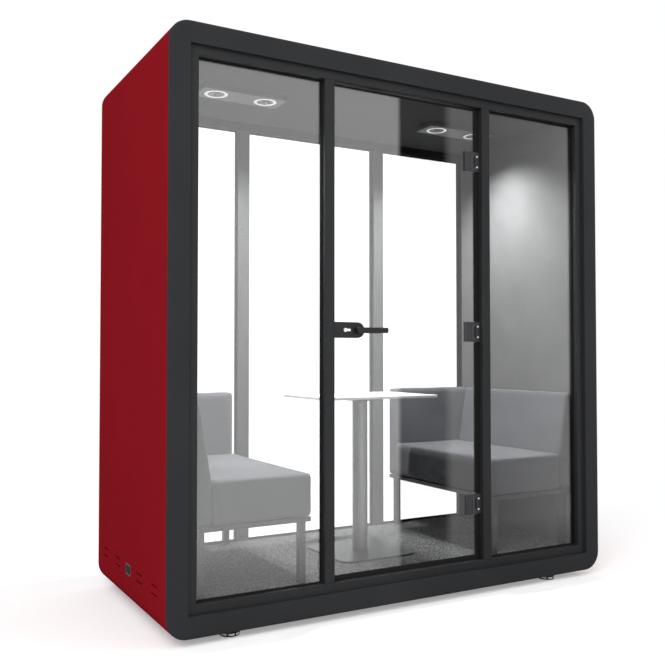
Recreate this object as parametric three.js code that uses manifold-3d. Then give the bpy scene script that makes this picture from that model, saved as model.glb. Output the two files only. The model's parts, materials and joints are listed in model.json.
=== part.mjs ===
// A two-seat acoustic office pod: ring frames, glazed faces, wrapped side panels, benches and a table.
// Millimetres, +Z up. The origin is on the floor under the middle of the shell, and the door faces -Y.
import * as THREE from "three";
import { mergeVertices } from "three/addons/utils/BufferGeometryUtils.js";
import Module from "manifold-3d";

const wasm = await Module();
wasm.setup();

// Clearance between pieces that seat against each other
const GAP = 0.3;

// Shell, measured over its outer faces
const SHELL_WIDTH = 2200;
const SHELL_DEPTH = 990;
const SHELL_HEIGHT = 2300;
const CORNER_RADIUS = 84;
const PANEL_THICKNESS = 18;
const CEILING_DEPTH = 80;
const CEILING_THICKNESS = 18;
const CARPET_THICKNESS = 8;
const CARPET_DROP = 2;
const WALL_REVEAL = 2;

// Levelling feet
const FOOT_HEIGHT = 30;
const FOOT_RADIUS = 40;
const FOOT_PAD = 18;
const FOOT_NECK_RADIUS = 24;
const FOOT_FROM_SIDE = 279;
const FOOT_FROM_FRONT = 78;
const STEM_RADIUS = 6;
const STEM_LENGTH = 50;

// Ring frames and the inner frames set back inside them, depths measured from the outside face
const RING_FACE = 84;
const RING_LIP = 8;
const ROLL_WIDTH = 18;
const ROLL_DEPTH = 7;
const FRAME_FACE = 38;
const FRAME_RECESS = 16;
const FRAME_REAR = 70;
const EDGE_CHAMFER = 2;

// Glass
const PANE_SET = 43;
const PANE_THICKNESS = 10;
const PANE_BITE = 10;

// Mullions beside the doorway and the stop that the leaf closes against
const DOORWAY = 776;
const MULLION_CAP = 45;
const STOP_WIDTH = 16;
const STOP_GAP = 2;

// Door leaf
const LOCK_SIDE_GAP = 4;
const HINGE_SIDE_GAP = 21;
const HEAD_GAP = 5;
const SILL_GAP = 8;
const SEAL_HEIGHT = 20;
const SEAL_THICKNESS = 12;
const SEAL_FLOOR_GAP = 1;
const SEAL_END_GAP = 1;

// Glass door hinges
const HINGE_HEIGHT = 90;
const HINGE_FROM_END = 242;
const HINGE_PIVOT_IN = 15;
const HINGE_PLATE = 7;
const BARREL_RADIUS = 11;
const PIN_RADIUS = 4;
const KNUCKLE_HEIGHT = 22;
const CLAMP_WIDTH = 32;
const CLAMP_SWING_GAP = 14;
const CLAMP_WEB = 6;
const NOTCH_GAP = 2;

// Lock, lever and key cylinder
const LOCK_HEIGHT = 1030;
const LOCK_LENGTH = 149;
const LOCK_TALL = 66;
const LOCK_PROUD = 10;
const LOCK_NOTCH_LENGTH = 96;
const LOCK_NOTCH_TALL = 44;
const LEVER_REACH = 138;
const LEVER_TALL = 23;
const LEVER_THICKNESS = 12;
const LEVER_STANDOFF = 11;
const LEVER_HUB_RADIUS = 15;
const SPINDLE_RADIUS = 6;
const CYLINDER_FROM_EDGE = 56;
const CYLINDER_RADIUS = 8.5;
const CYLINDER_TAIL = 24;
const CYLINDER_TAIL_WIDTH = 10;
const CYLINDER_PROUD = 2;
const PLUG_RADIUS = 6.2;
const PLUG_PROUD = 0.6;
const KEYWAY_WIDTH = 2;
const KEYWAY_TALL = 9;
const KEYWAY_DEPTH = 8;
const LATCH_NOSE = 3.4;
const LATCH_LENGTH = 34;
const LATCH_TALL = 16;
const LATCH_THICKNESS = 7;
const LATCH_TRAVEL = 4;
const STRIKE_DEPTH = 8;

// Vent slots and power inlet in the left side panel, heights above the shell's underside
const SLOT_LENGTH = 72;
const SLOT_TALL = 7;
const SLOT_NEAR = 158;
const SLOT_FAR = 349;
const SLOT_LOW = 143;
const SLOT_PITCH = 32;
const INLET_LENGTH = 70;
const INLET_TALL = 46;
const INLET_DEPTH = 16;
const INLET_RIM = 6;
const INLET_BAR = 6;
const INLET_SOCKET_DEPTH = 12;

// Ceiling units with ring lights and fans
const UNIT_LENGTH = 396;
const UNIT_WIDTH = 137;
const UNIT_HEIGHT = 22;
const UNIT_CORNER = 8;
const UNIT_FROM_WALL = 377;
const RING_PITCH = 238;
const LIGHT_OUTER = 51;
const LIGHT_INNER = 39;
const LIGHT_DEPTH = 6;
const GRILLE_THICKNESS = 3;
const GRILLE_SLOTS = 8;
const GRILLE_SLOT_WIDTH = 7;
const FAN_WELL_RADIUS = 35;
const FAN_TIP_GAP = 2;
const FAN_HUB_RADIUS = 11;
const FAN_SHAFT_RADIUS = 3;
const FAN_HEIGHT = 13;
const FAN_BLADES = 5;
const FAN_BLADE_THICKNESS = 1.6;
const FAN_BLADE_PITCH = 35;

// Benches, heights above the carpet
const BENCH_JAMB_GAP = 2;
const BENCH_TO_MULLION = 36;
const BENCH_END_GAP = 6;
const SEAT_TOP = 442;
const SEAT_THICKNESS = 171;
const BACK_TOP = 743;
const BACK_FOOT_THICKNESS = 76;
const BACK_TOP_THICKNESS = 25;
const ARM_THICKNESS = 70;
const ARM_END_RADIUS = 44;
const CUSHION_EDGE = 10;
const CUSHION_CROWN = 5;
const CUSHION_DRAW = 2;
const SEAT_SPANS = [4, 6, 2];
const BACK_SPANS = [2, 6, 3];
const BASE_BOARD = 19;
const BASE_INSET = 6;
const LEG_SIZE = 28;
const LEG_INSET = 22;

// Table, heights above the carpet
const TABLE_LENGTH = 600;
const TABLE_WIDTH = 430;
const TABLE_THICKNESS = 12;
const TABLE_TOP = 738;
const TABLE_CORNER = 6;
const MOUNT_UPPER = 170;
const MOUNT_LOWER = 110;
const MOUNT_HEIGHT = 16;
const COLUMN_RADIUS = 36;
const FOOTPLATE_SIZE = 400;
const FOOTPLATE_THICKNESS = 8;
const FOOTPLATE_CORNER = 55;

// Facets on round stretches
const CORNER_STEPS = 10;
const ROLL_STEPS = 4;
const EDGE_STEPS = 4;
const ROUND_STEPS = 24;
const SMALL_ROUND_STEPS = 12;
const CUT_MARGIN = 1;
const MERGE_TOLERANCE = 1e-4;

// Planes that the pieces share
const FRONT = -SHELL_DEPTH / 2;
const HALF_WIDTH = SHELL_WIDTH / 2;
const BASE_Z = FOOT_HEIGHT;
const TOP_Z = FOOT_HEIGHT + SHELL_HEIGHT;
const OPENING_INSET = RING_FACE + FRAME_FACE;
const SILL_Z = BASE_Z + OPENING_INSET;
const HEAD_Z = TOP_Z - OPENING_INSET;
const JAMB_X = HALF_WIDTH - OPENING_INSET;
const WALL_X = JAMB_X + WALL_REVEAL;
const CARPET_Z = SILL_Z - CARPET_DROP;
const FLOOR_Z = CARPET_Z - CARPET_THICKNESS;
const CEILING_Z = TOP_Z - CEILING_DEPTH;
const ROOF_CORE_Z = CEILING_Z + CEILING_THICKNESS;
const CORE_FRONT = FRONT + FRAME_REAR + GAP;
const PANE_FRONT = FRONT + PANE_SET;
const PANE_REAR = PANE_FRONT + PANE_THICKNESS;
const PANE_MID = (PANE_FRONT + PANE_REAR) / 2;
const STOP_FACE = PANE_REAR + STOP_GAP;
const CAP_X = DOORWAY / 2;
const MULLION_X = CAP_X + MULLION_CAP;
const STOP_X = CAP_X - STOP_WIDTH;
const FIXINGS_INSET = PANEL_THICKNESS + GAP;
const THROUGH_LEFT_PANEL = [-HALF_WIDTH - CUT_MARGIN, -HALF_WIDTH + PANEL_THICKNESS + CUT_MARGIN];
const INLET_Z = BASE_Z + SLOT_LOW + SLOT_PITCH / 2;
const UNIT_FROM_MIDDLE = WALL_X - UNIT_FROM_WALL;
const SHARP_RADIUS = 10 * MERGE_TOLERANCE;

// Door planes
const LEAF_LEFT = -CAP_X + LOCK_SIDE_GAP;
const LEAF_RIGHT = CAP_X - HINGE_SIDE_GAP;
const LEAF_BOTTOM = SILL_Z + SILL_GAP;
const LEAF_TOP = HEAD_Z - HEAD_GAP;
const PIVOT_X = LEAF_RIGHT - HINGE_PIVOT_IN;
const CLAMP_RIGHT = PIVOT_X - CLAMP_SWING_GAP;
const CLAMP_LEFT = CLAMP_RIGHT - CLAMP_WIDTH;
const NOTCH_LEFT = CLAMP_RIGHT - CLAMP_WEB;
const HINGE_FRONT = PANE_FRONT - HINGE_PLATE;
const HINGE_REAR = PANE_REAR + HINGE_PLATE;
const HINGE_LEVELS = {
  lower: LEAF_BOTTOM + HINGE_FROM_END,
  middle: (LEAF_BOTTOM + LEAF_TOP) / 2,
  upper: LEAF_TOP - HINGE_FROM_END,
};
const LOCK_Z = CARPET_Z + LOCK_HEIGHT;
const LEVER_X = LEAF_LEFT + LOCK_LENGTH - LOCK_TALL / 2;
const CYLINDER_X = LEAF_LEFT + CYLINDER_FROM_EDGE;
const CASE_FRONT = PANE_FRONT - LOCK_PROUD;
const CASE_REAR = PANE_REAR + LOCK_PROUD;

// Finishes: colour, roughness and metalness
const FINISHES = {
  charcoal: [0x2f3032, 0.55, 0.0],
  red: [0x84191f, 0.42, 0.0],
  felt: [0x6a6b6e, 0.95, 0.0],
  ceiling: [0x54555a, 0.95, 0.0],
  carpet: [0x3c3d40, 1.0, 0.0],
  glass: [0xdfe8ea, 0.05, 0.0],
  upholstery: [0x5a5b60, 0.95, 0.0],
  black: [0x161617, 0.5, 0.0],
  rubber: [0x101011, 0.8, 0.0],
  steel: [0x8d8f92, 0.35, 0.9],
  darkMetal: [0x44464a, 0.45, 0.6],
  white: [0xf2f2f0, 0.4, 0.0],
  light: [0xffffff, 0.3, 0.0],
  grey: [0x707276, 0.5, 0.0],
};

const pod = new THREE.Group();

// Turns a closed three.js geometry into a solid that can be joined and cut.
function solid(geometry) {
  const bare = new THREE.BufferGeometry();
  bare.setAttribute("position", geometry.getAttribute("position"));
  bare.setIndex(geometry.index);
  const merged = mergeVertices(bare, MERGE_TOLERANCE);
  const vertProperties = new Float32Array(merged.getAttribute("position").array);
  const triVerts = new Uint32Array(merged.index.array);
  return new wasm.Manifold(new wasm.Mesh({ numProp: 3, vertProperties, triVerts }));
}

// Gives a solid back as a flat-shaded geometry.
function geometryOf(body) {
  const mesh = body.getMesh();
  const indexed = new THREE.BufferGeometry();
  indexed.setAttribute("position", new THREE.BufferAttribute(new Float32Array(mesh.vertProperties), 3));
  indexed.setIndex(new THREE.BufferAttribute(new Uint32Array(mesh.triVerts), 1));
  const flat = indexed.toNonIndexed();
  flat.computeVertexNormals();
  return flat;
}

// Adds a named piece to the pod, or to a group that is placed in it.
function piece(name, body, finish, parent = pod) {
  const [color, roughness, metalness] = FINISHES[finish];
  const material = new THREE.MeshStandardMaterial({ color, roughness, metalness });
  const mesh = new THREE.Mesh(geometryOf(body), material);
  mesh.name = name;
  parent.add(mesh);
}

function join(first, ...others) {
  return others.reduce((sum, other) => sum.add(other), first);
}

function cut(first, ...others) {
  return others.reduce((rest, other) => rest.subtract(other), first);
}

// A block between two opposite corners, given as ranges along X, Y and Z in either order.
function block(xs, ys, zs) {
  const sizes = [xs, ys, zs].map(([a, b]) => Math.abs(b - a));
  const middles = [xs, ys, zs].map(([a, b]) => (a + b) / 2);
  return solid(new THREE.BoxGeometry(...sizes).translate(...middles));
}

// How a flat outline is turned to extrude along each axis: its two directions, then the extrusion's.
const EXTRUDE_BASES = {
  x: [new THREE.Vector3(0, 1, 0), new THREE.Vector3(0, 0, 1), new THREE.Vector3(1, 0, 0)],
  y: [new THREE.Vector3(1, 0, 0), new THREE.Vector3(0, 0, 1), new THREE.Vector3(0, -1, 0)],
  z: [new THREE.Vector3(1, 0, 0), new THREE.Vector3(0, 1, 0), new THREE.Vector3(0, 0, 1)],
};

// An outline extruded along an axis: YZ points along x, XZ points along y, XY points along z.
function prism(points, axis, from, to) {
  const shape = new THREE.Shape(points.map(([a, b]) => new THREE.Vector2(a, b)));
  const geometry = new THREE.ExtrudeGeometry(shape, { depth: Math.abs(to - from), bevelEnabled: false });
  geometry.applyMatrix4(new THREE.Matrix4().makeBasis(...EXTRUDE_BASES[axis]));
  const start = axis === "y" ? Math.max(from, to) : Math.min(from, to);
  return solid(geometry.translate(...["x", "y", "z"].map((name) => (name === axis ? start : 0))));
}

// Points on an arc, with angles in degrees.
function arc(centreA, centreB, radius, from, to, steps) {
  return Array.from({ length: steps + 1 }, (_, i) => {
    const angle = THREE.MathUtils.degToRad(from + ((to - from) * i) / steps);
    return [centreA + radius * Math.cos(angle), centreB + radius * Math.sin(angle)];
  });
}

// A rectangle with rounded corners.
function roundedRect(centreA, centreB, halfA, halfB, radius, steps) {
  const a = halfA - radius;
  const b = halfB - radius;
  return [
    ...arc(centreA + a, centreB + b, radius, 0, 90, steps),
    ...arc(centreA - a, centreB + b, radius, 90, 180, steps),
    ...arc(centreA - a, centreB - b, radius, 180, 270, steps),
    ...arc(centreA + a, centreB - b, radius, 270, 360, steps),
  ];
}

// A round bar along an axis. The centre is given in the same order as a prism's outline.
function cylinder(centreA, centreB, radius, axis, from, to, steps = SMALL_ROUND_STEPS) {
  return prism(arc(centreA, centreB, radius, 0, 360 - 360 / steps, steps - 1), axis, from, to);
}

// Skins a row of matching loops. Open rows are capped at both ends, closed rows run round to the start.
function skin(loops, closed) {
  const count = loops[0].length;
  const rows = closed ? loops.length : loops.length - 1;
  const index = [];
  for (let row = 0; row < rows; row += 1) {
    const next = (row + 1) % loops.length;
    for (let i = 0; i < count; i += 1) {
      const j = (i + 1) % count;
      index.push(row * count + i, row * count + j, next * count + j);
      index.push(row * count + i, next * count + j, next * count + i);
    }
  }
  const last = (loops.length - 1) * count;
  for (let i = 1; !closed && i < count - 1; i += 1) {
    index.push(0, i + 1, i);
    index.push(last, last + i, last + i + 1);
  }
  const geometry = new THREE.BufferGeometry();
  geometry.setAttribute("position", new THREE.Float32BufferAttribute(loops.flat(2), 3));
  geometry.setIndex(index);
  return solid(geometry);
}

// The shell's rounded outline, drawn in by an inset, as a loop at one depth.
function shellLoop(inset, y) {
  const halfB = SHELL_HEIGHT / 2 - inset;
  const radius = Math.max(CORNER_RADIUS - inset, SHARP_RADIUS);
  const halfA = HALF_WIDTH - inset;
  const outline = roundedRect(0, BASE_Z + SHELL_HEIGHT / 2, halfA, halfB, radius, CORNER_STEPS);
  return outline.map(([x, z]) => [x, y, z]).reverse();
}

// The space inside the panels, from just behind the front frame to just before the rear one.
function coreSpace() {
  return skin([shellLoop(FIXINGS_INSET, CORE_FRONT), shellLoop(FIXINGS_INSET, -CORE_FRONT)], false);
}

// A ring frame: a rolled lip over the panels' edges and a body that fits inside them.
function ringFrame() {
  const roll = Array.from({ length: ROLL_STEPS + 1 }, (_, i) => {
    const angle = (Math.PI / 2) * (i / ROLL_STEPS);
    return shellLoop(ROLL_WIDTH * (1 - Math.sin(angle)), FRONT + ROLL_DEPTH * (1 - Math.cos(angle)));
  });
  const lip = skin([...roll, shellLoop(0, FRONT + RING_LIP)], false);
  const bodyEnds = [FRONT + RING_LIP / 2, FRONT + FRAME_REAR];
  const body = skin(bodyEnds.map((y) => shellLoop(FIXINGS_INSET, y)), false);
  const opening = block(
    [-HALF_WIDTH + RING_FACE, HALF_WIDTH - RING_FACE],
    [FRONT - CUT_MARGIN, FRONT + FRAME_REAR + CUT_MARGIN],
    [BASE_Z + RING_FACE, TOP_Z - RING_FACE],
  );
  return cut(join(lip, body), opening);
}

// The mitred inner frame, with its front inner edge chamfered.
function innerFrame() {
  const outer = RING_FACE + GAP;
  const profile = [
    [outer, FRAME_RECESS],
    [OPENING_INSET - EDGE_CHAMFER, FRAME_RECESS],
    [OPENING_INSET, FRAME_RECESS + EDGE_CHAMFER],
    [OPENING_INSET, FRAME_REAR],
    [outer, FRAME_REAR],
  ];
  const loops = profile.map(([inset, depth]) => {
    const x = HALF_WIDTH - inset;
    const y = FRONT + depth;
    return [
      [-x, y, BASE_Z + inset],
      [x, y, BASE_Z + inset],
      [x, y, TOP_Z - inset],
      [-x, y, TOP_Z - inset],
    ];
  });
  return skin(loops, true);
}

// A pane that fills a bay and bites into the frame round it, or with a margin its pocket.
function pane(left, right, margin) {
  const bite = PANE_BITE - GAP + margin;
  return block(
    [left - bite, right + bite],
    [PANE_FRONT - margin, PANE_REAR + margin],
    [SILL_Z - bite, HEAD_Z + bite],
  );
}

// The upright beside the doorway, with a glazing groove and the leaf's stop. Side is -1 left, 1 right.
function doorMullion(side) {
  const groove = MULLION_X - PANE_BITE;
  const front = FRONT + FRAME_RECESS;
  const outline = [
    [MULLION_X - EDGE_CHAMFER, front],
    [MULLION_X, front + EDGE_CHAMFER],
    [MULLION_X, PANE_FRONT - GAP],
    [groove, PANE_FRONT - GAP],
    [groove, PANE_REAR + GAP],
    [MULLION_X, PANE_REAR + GAP],
    [MULLION_X, FRONT + FRAME_REAR],
    [STOP_X, FRONT + FRAME_REAR],
    [STOP_X, STOP_FACE],
    [CAP_X, STOP_FACE],
    [CAP_X, front + EDGE_CHAMFER],
    [CAP_X + EDGE_CHAMFER, front],
  ];
  return prism(outline.map(([x, y]) => [side * x, y]), "z", SILL_Z + GAP, HEAD_Z - GAP);
}

// The upright between two fixed panes, with a glazing groove on both sides.
function paneMullion(side) {
  const front = FRONT + FRAME_RECESS;
  const body = prism(
    [
      [side * (STOP_X + EDGE_CHAMFER), front],
      [side * (MULLION_X - EDGE_CHAMFER), front],
      [side * MULLION_X, front + EDGE_CHAMFER],
      [side * MULLION_X, FRONT + FRAME_REAR],
      [side * STOP_X, FRONT + FRAME_REAR],
      [side * STOP_X, front + EDGE_CHAMFER],
    ],
    "z",
    SILL_Z + GAP,
    HEAD_Z - GAP,
  );
  const outerBay = [side * MULLION_X, side * JAMB_X].sort((a, b) => a - b);
  return cut(body, pane(...outerBay, GAP), pane(-STOP_X, STOP_X, GAP));
}

// Front and rear faces share their ring; the rear one is the front one turned round.
function addFaces() {
  const rear = new THREE.Group();
  rear.rotation.z = Math.PI;
  pod.add(rear);
  piece("front_ring", ringFrame(), "charcoal");
  piece("rear_ring", ringFrame(), "charcoal", rear);

  const sideBays = [
    [-JAMB_X, -MULLION_X],
    [MULLION_X, JAMB_X],
  ];
  const sidePockets = sideBays.map(([left, right]) => pane(left, right, GAP));
  piece("front_frame", cut(innerFrame(), ...sidePockets), "charcoal");
  piece("rear_frame", cut(innerFrame(), ...sidePockets, pane(-STOP_X, STOP_X, GAP)), "charcoal", rear);

  const strike = block(
    [-CAP_X - STRIKE_DEPTH, -CAP_X + CUT_MARGIN],
    [PANE_MID - LATCH_THICKNESS / 2 - GAP, PANE_MID + LATCH_THICKNESS / 2 + GAP],
    [LOCK_Z - LATCH_TALL / 2 - CUT_MARGIN, LOCK_Z + LATCH_TALL / 2 + CUT_MARGIN],
  );
  piece("front_left_mullion", cut(doorMullion(-1), strike), "charcoal");
  piece("front_right_mullion", doorMullion(1), "charcoal");
  piece("rear_right_mullion", paneMullion(-1), "charcoal", rear);
  piece("rear_left_mullion", paneMullion(1), "charcoal", rear);

  piece("front_left_glass", pane(...sideBays[0], 0), "glass");
  piece("front_right_glass", pane(...sideBays[1], 0), "glass");
  piece("rear_right_glass", pane(...sideBays[0], 0), "glass", rear);
  piece("rear_left_glass", pane(...sideBays[1], 0), "glass", rear);
  piece("rear_centre_glass", pane(-STOP_X, STOP_X, 0), "glass", rear);
}

// A side panel that wraps both corners in one sheet. Side is -1 left, 1 right.
function sidePanel(side) {
  const x = HALF_WIDTH - CORNER_RADIUS;
  const inner = Math.max(CORNER_RADIUS - PANEL_THICKNESS, SHARP_RADIUS);
  const outline = [
    ...arc(x, TOP_Z - CORNER_RADIUS, CORNER_RADIUS, 90, 0, CORNER_STEPS),
    ...arc(x, BASE_Z + CORNER_RADIUS, CORNER_RADIUS, 0, -90, CORNER_STEPS),
    ...arc(x, BASE_Z + CORNER_RADIUS, inner, -90, 0, CORNER_STEPS),
    ...arc(x, TOP_Z - CORNER_RADIUS, inner, 0, 90, CORNER_STEPS),
  ];
  const edge = FRONT + RING_LIP + GAP;
  return prism(outline.map(([a, b]) => [side * a, b]), "y", edge, -edge);
}

// Pairs of air slots along the foot of the left panel.
function ventSlots() {
  const slots = [];
  for (const y of [-SLOT_FAR, -SLOT_NEAR, SLOT_NEAR, SLOT_FAR]) {
    for (const level of [0, 1]) {
      const z = BASE_Z + SLOT_LOW + level * SLOT_PITCH;
      const outline = roundedRect(y, z, SLOT_LENGTH / 2, SLOT_TALL / 2, SLOT_TALL / 2, EDGE_STEPS);
      slots.push(prism(outline, "x", ...THROUGH_LEFT_PANEL));
    }
  }
  return slots;
}

// A block over the inlet's face, grown or drawn in by a margin.
function inletBlock(xs, margin) {
  const y = INLET_LENGTH / 2 + margin;
  const z = INLET_TALL / 2 + margin;
  return block(xs, [-y, y], [INLET_Z - z, INLET_Z + z]);
}

// The inlet: a rim round two sockets side by side, with a bar between them.
function powerInlet() {
  const face = -HALF_WIDTH + GAP;
  const recess = [face - CUT_MARGIN, face + INLET_SOCKET_DEPTH];
  const bar = block(recess, [-INLET_BAR / 2, INLET_BAR / 2], [BASE_Z, TOP_Z]);
  return cut(inletBlock([face, face + INLET_DEPTH], 0), cut(inletBlock(recess, -INLET_RIM), bar));
}

function footCentres() {
  const x = HALF_WIDTH - FOOT_FROM_SIDE;
  const y = FRONT + FOOT_FROM_FRONT;
  return { left_front: [-x, y], right_front: [x, y], left_rear: [-x, -y], right_rear: [x, -y] };
}

// A plate between the wrapped corners and the insulated core under or over it.
function deck(outerZ, plateZ, coreZ) {
  const plateX = HALF_WIDTH - CORNER_RADIUS - GAP;
  const edge = FRONT + RING_LIP + GAP;
  const plate = block([-plateX, plateX], [edge, -edge], [outerZ, plateZ]);
  const linkY = CORE_FRONT + CUT_MARGIN;
  const linkX = plateX - CUT_MARGIN;
  const link = block([-linkX, linkX], [linkY, -linkY], [(outerZ + plateZ) / 2, (plateZ + coreZ) / 2]);
  const core = block([-HALF_WIDTH, HALF_WIDTH], [CORE_FRONT, -CORE_FRONT], [outerZ, coreZ]);
  return join(plate, link, core.intersect(coreSpace()));
}

// Panels, linings, roof, floor and the feet under it.
function addShell() {
  const inletHole = inletBlock(THROUGH_LEFT_PANEL, GAP);
  piece("left_side_panel", cut(sidePanel(-1), ...ventSlots(), inletHole), "red");
  piece("right_side_panel", sidePanel(1), "red");
  piece("power_inlet", powerInlet(), "grey");

  for (const [name, side] of [["left_acoustic_wall", -1], ["right_acoustic_wall", 1]]) {
    const slab = block(
      [side * WALL_X, side * HALF_WIDTH],
      [CORE_FRONT, -CORE_FRONT],
      [FLOOR_Z + GAP, ROOF_CORE_Z - GAP],
    );
    piece(name, slab.intersect(coreSpace()), "felt");
  }

  piece("roof_panel", deck(TOP_Z, TOP_Z - PANEL_THICKNESS, ROOF_CORE_Z), "charcoal");
  const stems = Object.values(footCentres()).map(([x, y]) =>
    cylinder(x, y, STEM_RADIUS + GAP, "z", BASE_Z - CUT_MARGIN, BASE_Z + STEM_LENGTH + GAP),
  );
  piece("floor_base", cut(deck(BASE_Z, BASE_Z + PANEL_THICKNESS, FLOOR_Z), ...stems), "charcoal");

  const insideX = [-WALL_X + GAP, WALL_X - GAP];
  const insideY = [CORE_FRONT, -CORE_FRONT];
  const airHoles = fanCentres().map(([x]) =>
    cylinder(x, 0, FAN_WELL_RADIUS, "z", CEILING_Z - CUT_MARGIN, ROOF_CORE_Z + CUT_MARGIN, ROUND_STEPS),
  );
  const ceiling = block(insideX, insideY, [CEILING_Z, ROOF_CORE_Z - GAP]);
  piece("ceiling_panel", cut(ceiling, ...airHoles), "ceiling");
  piece("carpet", block(insideX, insideY, [FLOOR_Z + GAP, CARPET_Z]), "carpet");

  for (const [name, [x, y]] of Object.entries(footCentres())) {
    piece(`${name}_foot`, levellingFoot().translate([x, y, 0]), "black");
  }
}

// A round pad with a stepped neck and a stem that screws up into the floor.
function levellingFoot() {
  const profile = [
    [0, 0],
    [FOOT_RADIUS - EDGE_CHAMFER, 0],
    [FOOT_RADIUS, EDGE_CHAMFER],
    [FOOT_RADIUS, FOOT_PAD - EDGE_CHAMFER],
    [FOOT_RADIUS - EDGE_CHAMFER, FOOT_PAD],
    [FOOT_NECK_RADIUS, FOOT_PAD],
    [FOOT_NECK_RADIUS, FOOT_HEIGHT - GAP],
    [STEM_RADIUS, FOOT_HEIGHT - GAP],
    [STEM_RADIUS, FOOT_HEIGHT + STEM_LENGTH],
    [0, FOOT_HEIGHT + STEM_LENGTH],
  ];
  const points = profile.map(([radius, z]) => new THREE.Vector2(radius, z));
  return solid(new THREE.LatheGeometry(points, ROUND_STEPS).rotateX(Math.PI / 2));
}

// The glass leaf, notched for its hinges and lock, and the seal along its foot.
function addLeaf() {
  const through = [PANE_FRONT - CUT_MARGIN, PANE_REAR + CUT_MARGIN];
  const notches = Object.values(HINGE_LEVELS).map((z) =>
    block(
      [NOTCH_LEFT, LEAF_RIGHT + CUT_MARGIN],
      through,
      [z - HINGE_HEIGHT / 2 - NOTCH_GAP, z + HINGE_HEIGHT / 2 + NOTCH_GAP],
    ),
  );
  const lockNotch = block(
    [LEAF_LEFT - CUT_MARGIN, LEAF_LEFT + LOCK_NOTCH_LENGTH],
    through,
    [LOCK_Z - LOCK_NOTCH_TALL / 2, LOCK_Z + LOCK_NOTCH_TALL / 2],
  );
  const spindleHole = cylinder(LEVER_X, LOCK_Z, SPINDLE_RADIUS + NOTCH_GAP, "y", ...through);
  const leaf = block([LEAF_LEFT, LEAF_RIGHT], [PANE_FRONT, PANE_REAR], [LEAF_BOTTOM, LEAF_TOP]);
  piece("door_glass", cut(leaf, ...notches, lockNotch, spindleHole), "glass");

  const sealBottom = SILL_Z + SEAL_FLOOR_GAP;
  const seal = block(
    [LEAF_LEFT + SEAL_END_GAP, LEAF_RIGHT - SEAL_END_GAP],
    [PANE_MID - SEAL_THICKNESS / 2, PANE_MID + SEAL_THICKNESS / 2],
    [sealBottom, sealBottom + SEAL_HEIGHT],
  );
  const groove = block(
    [LEAF_LEFT, LEAF_RIGHT],
    [PANE_FRONT - GAP, PANE_REAR + GAP],
    [LEAF_BOTTOM - GAP, sealBottom + SEAL_HEIGHT + CUT_MARGIN],
  );
  piece("door_bottom_seal", cut(seal, groove), "rubber");
}

// One glass hinge: a plate with its pin on the mullion, and a clamp over the notched glass.
function addHinge(name, z) {
  const tall = [z - HINGE_HEIGHT / 2, z + HINGE_HEIGHT / 2];
  const knuckle = HINGE_HEIGHT / 2 - KNUCKLE_HEIGHT;
  const plateLeft = PIVOT_X + BARREL_RADIUS + GAP;
  const plateRear = STOP_FACE - GAP;
  const barrel = (from, to) => cylinder(PIVOT_X, PANE_MID, BARREL_RADIUS, "z", from, to, ROUND_STEPS);
  const arms = [
    [tall[0], z - knuckle],
    [z + knuckle, tall[1]],
  ];
  const knuckles = arms.flatMap(([from, to]) => [
    barrel(from, to),
    block([PIVOT_X, plateLeft + CUT_MARGIN], [PANE_MID - BARREL_RADIUS, plateRear], [from, to]),
  ]);
  const plate = block([plateLeft, CAP_X - GAP], [HINGE_FRONT, plateRear], tall);
  const pin = cylinder(PIVOT_X, PANE_MID, PIN_RADIUS, "z", ...tall);
  piece(`${name}_hinge_plate`, join(plate, pin, ...knuckles), "darkMetal");

  const middle = [z - knuckle + GAP, z + knuckle - GAP];
  const front = block([CLAMP_LEFT, CLAMP_RIGHT], [HINGE_FRONT, PANE_FRONT - GAP], tall);
  const rear = block([CLAMP_LEFT, CLAMP_RIGHT], [PANE_REAR + GAP, HINGE_REAR], tall);
  const web = block([NOTCH_LEFT + GAP, CLAMP_RIGHT], [HINGE_FRONT, HINGE_REAR], tall);
  const reach = block(
    [CLAMP_RIGHT - CUT_MARGIN, PIVOT_X],
    [PANE_MID - BARREL_RADIUS / 2, PANE_MID + BARREL_RADIUS / 2],
    middle,
  );
  const bore = cylinder(PIVOT_X, PANE_MID, PIN_RADIUS + GAP, "z", ...tall);
  piece(`${name}_hinge_clamp`, cut(join(front, rear, web, reach, barrel(...middle)), bore), "darkMetal");
}

// The outline of the lock case: square at the leaf's edge and half round behind the lever.
function caseOutline(left) {
  const radius = LOCK_TALL / 2;
  return [
    [left, LOCK_Z - radius],
    ...arc(LEVER_X, LOCK_Z, radius, -90, 90, ROUND_STEPS / 2),
    [left, LOCK_Z + radius],
  ];
}

// The key cylinder's outline lies on its side: a round barrel with a narrow tail towards the lever.
function keyCylinder(margin, proud) {
  const through = [CASE_FRONT - proud, CASE_REAR + proud];
  const barrel = cylinder(CYLINDER_X, LOCK_Z, CYLINDER_RADIUS + margin, "y", ...through);
  const tail = block(
    [CYLINDER_X, CYLINDER_X + CYLINDER_TAIL + margin],
    through,
    [LOCK_Z - CYLINDER_TAIL_WIDTH / 2 - margin, LOCK_Z + CYLINDER_TAIL_WIDTH / 2 + margin],
  );
  return join(barrel, tail);
}

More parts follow.
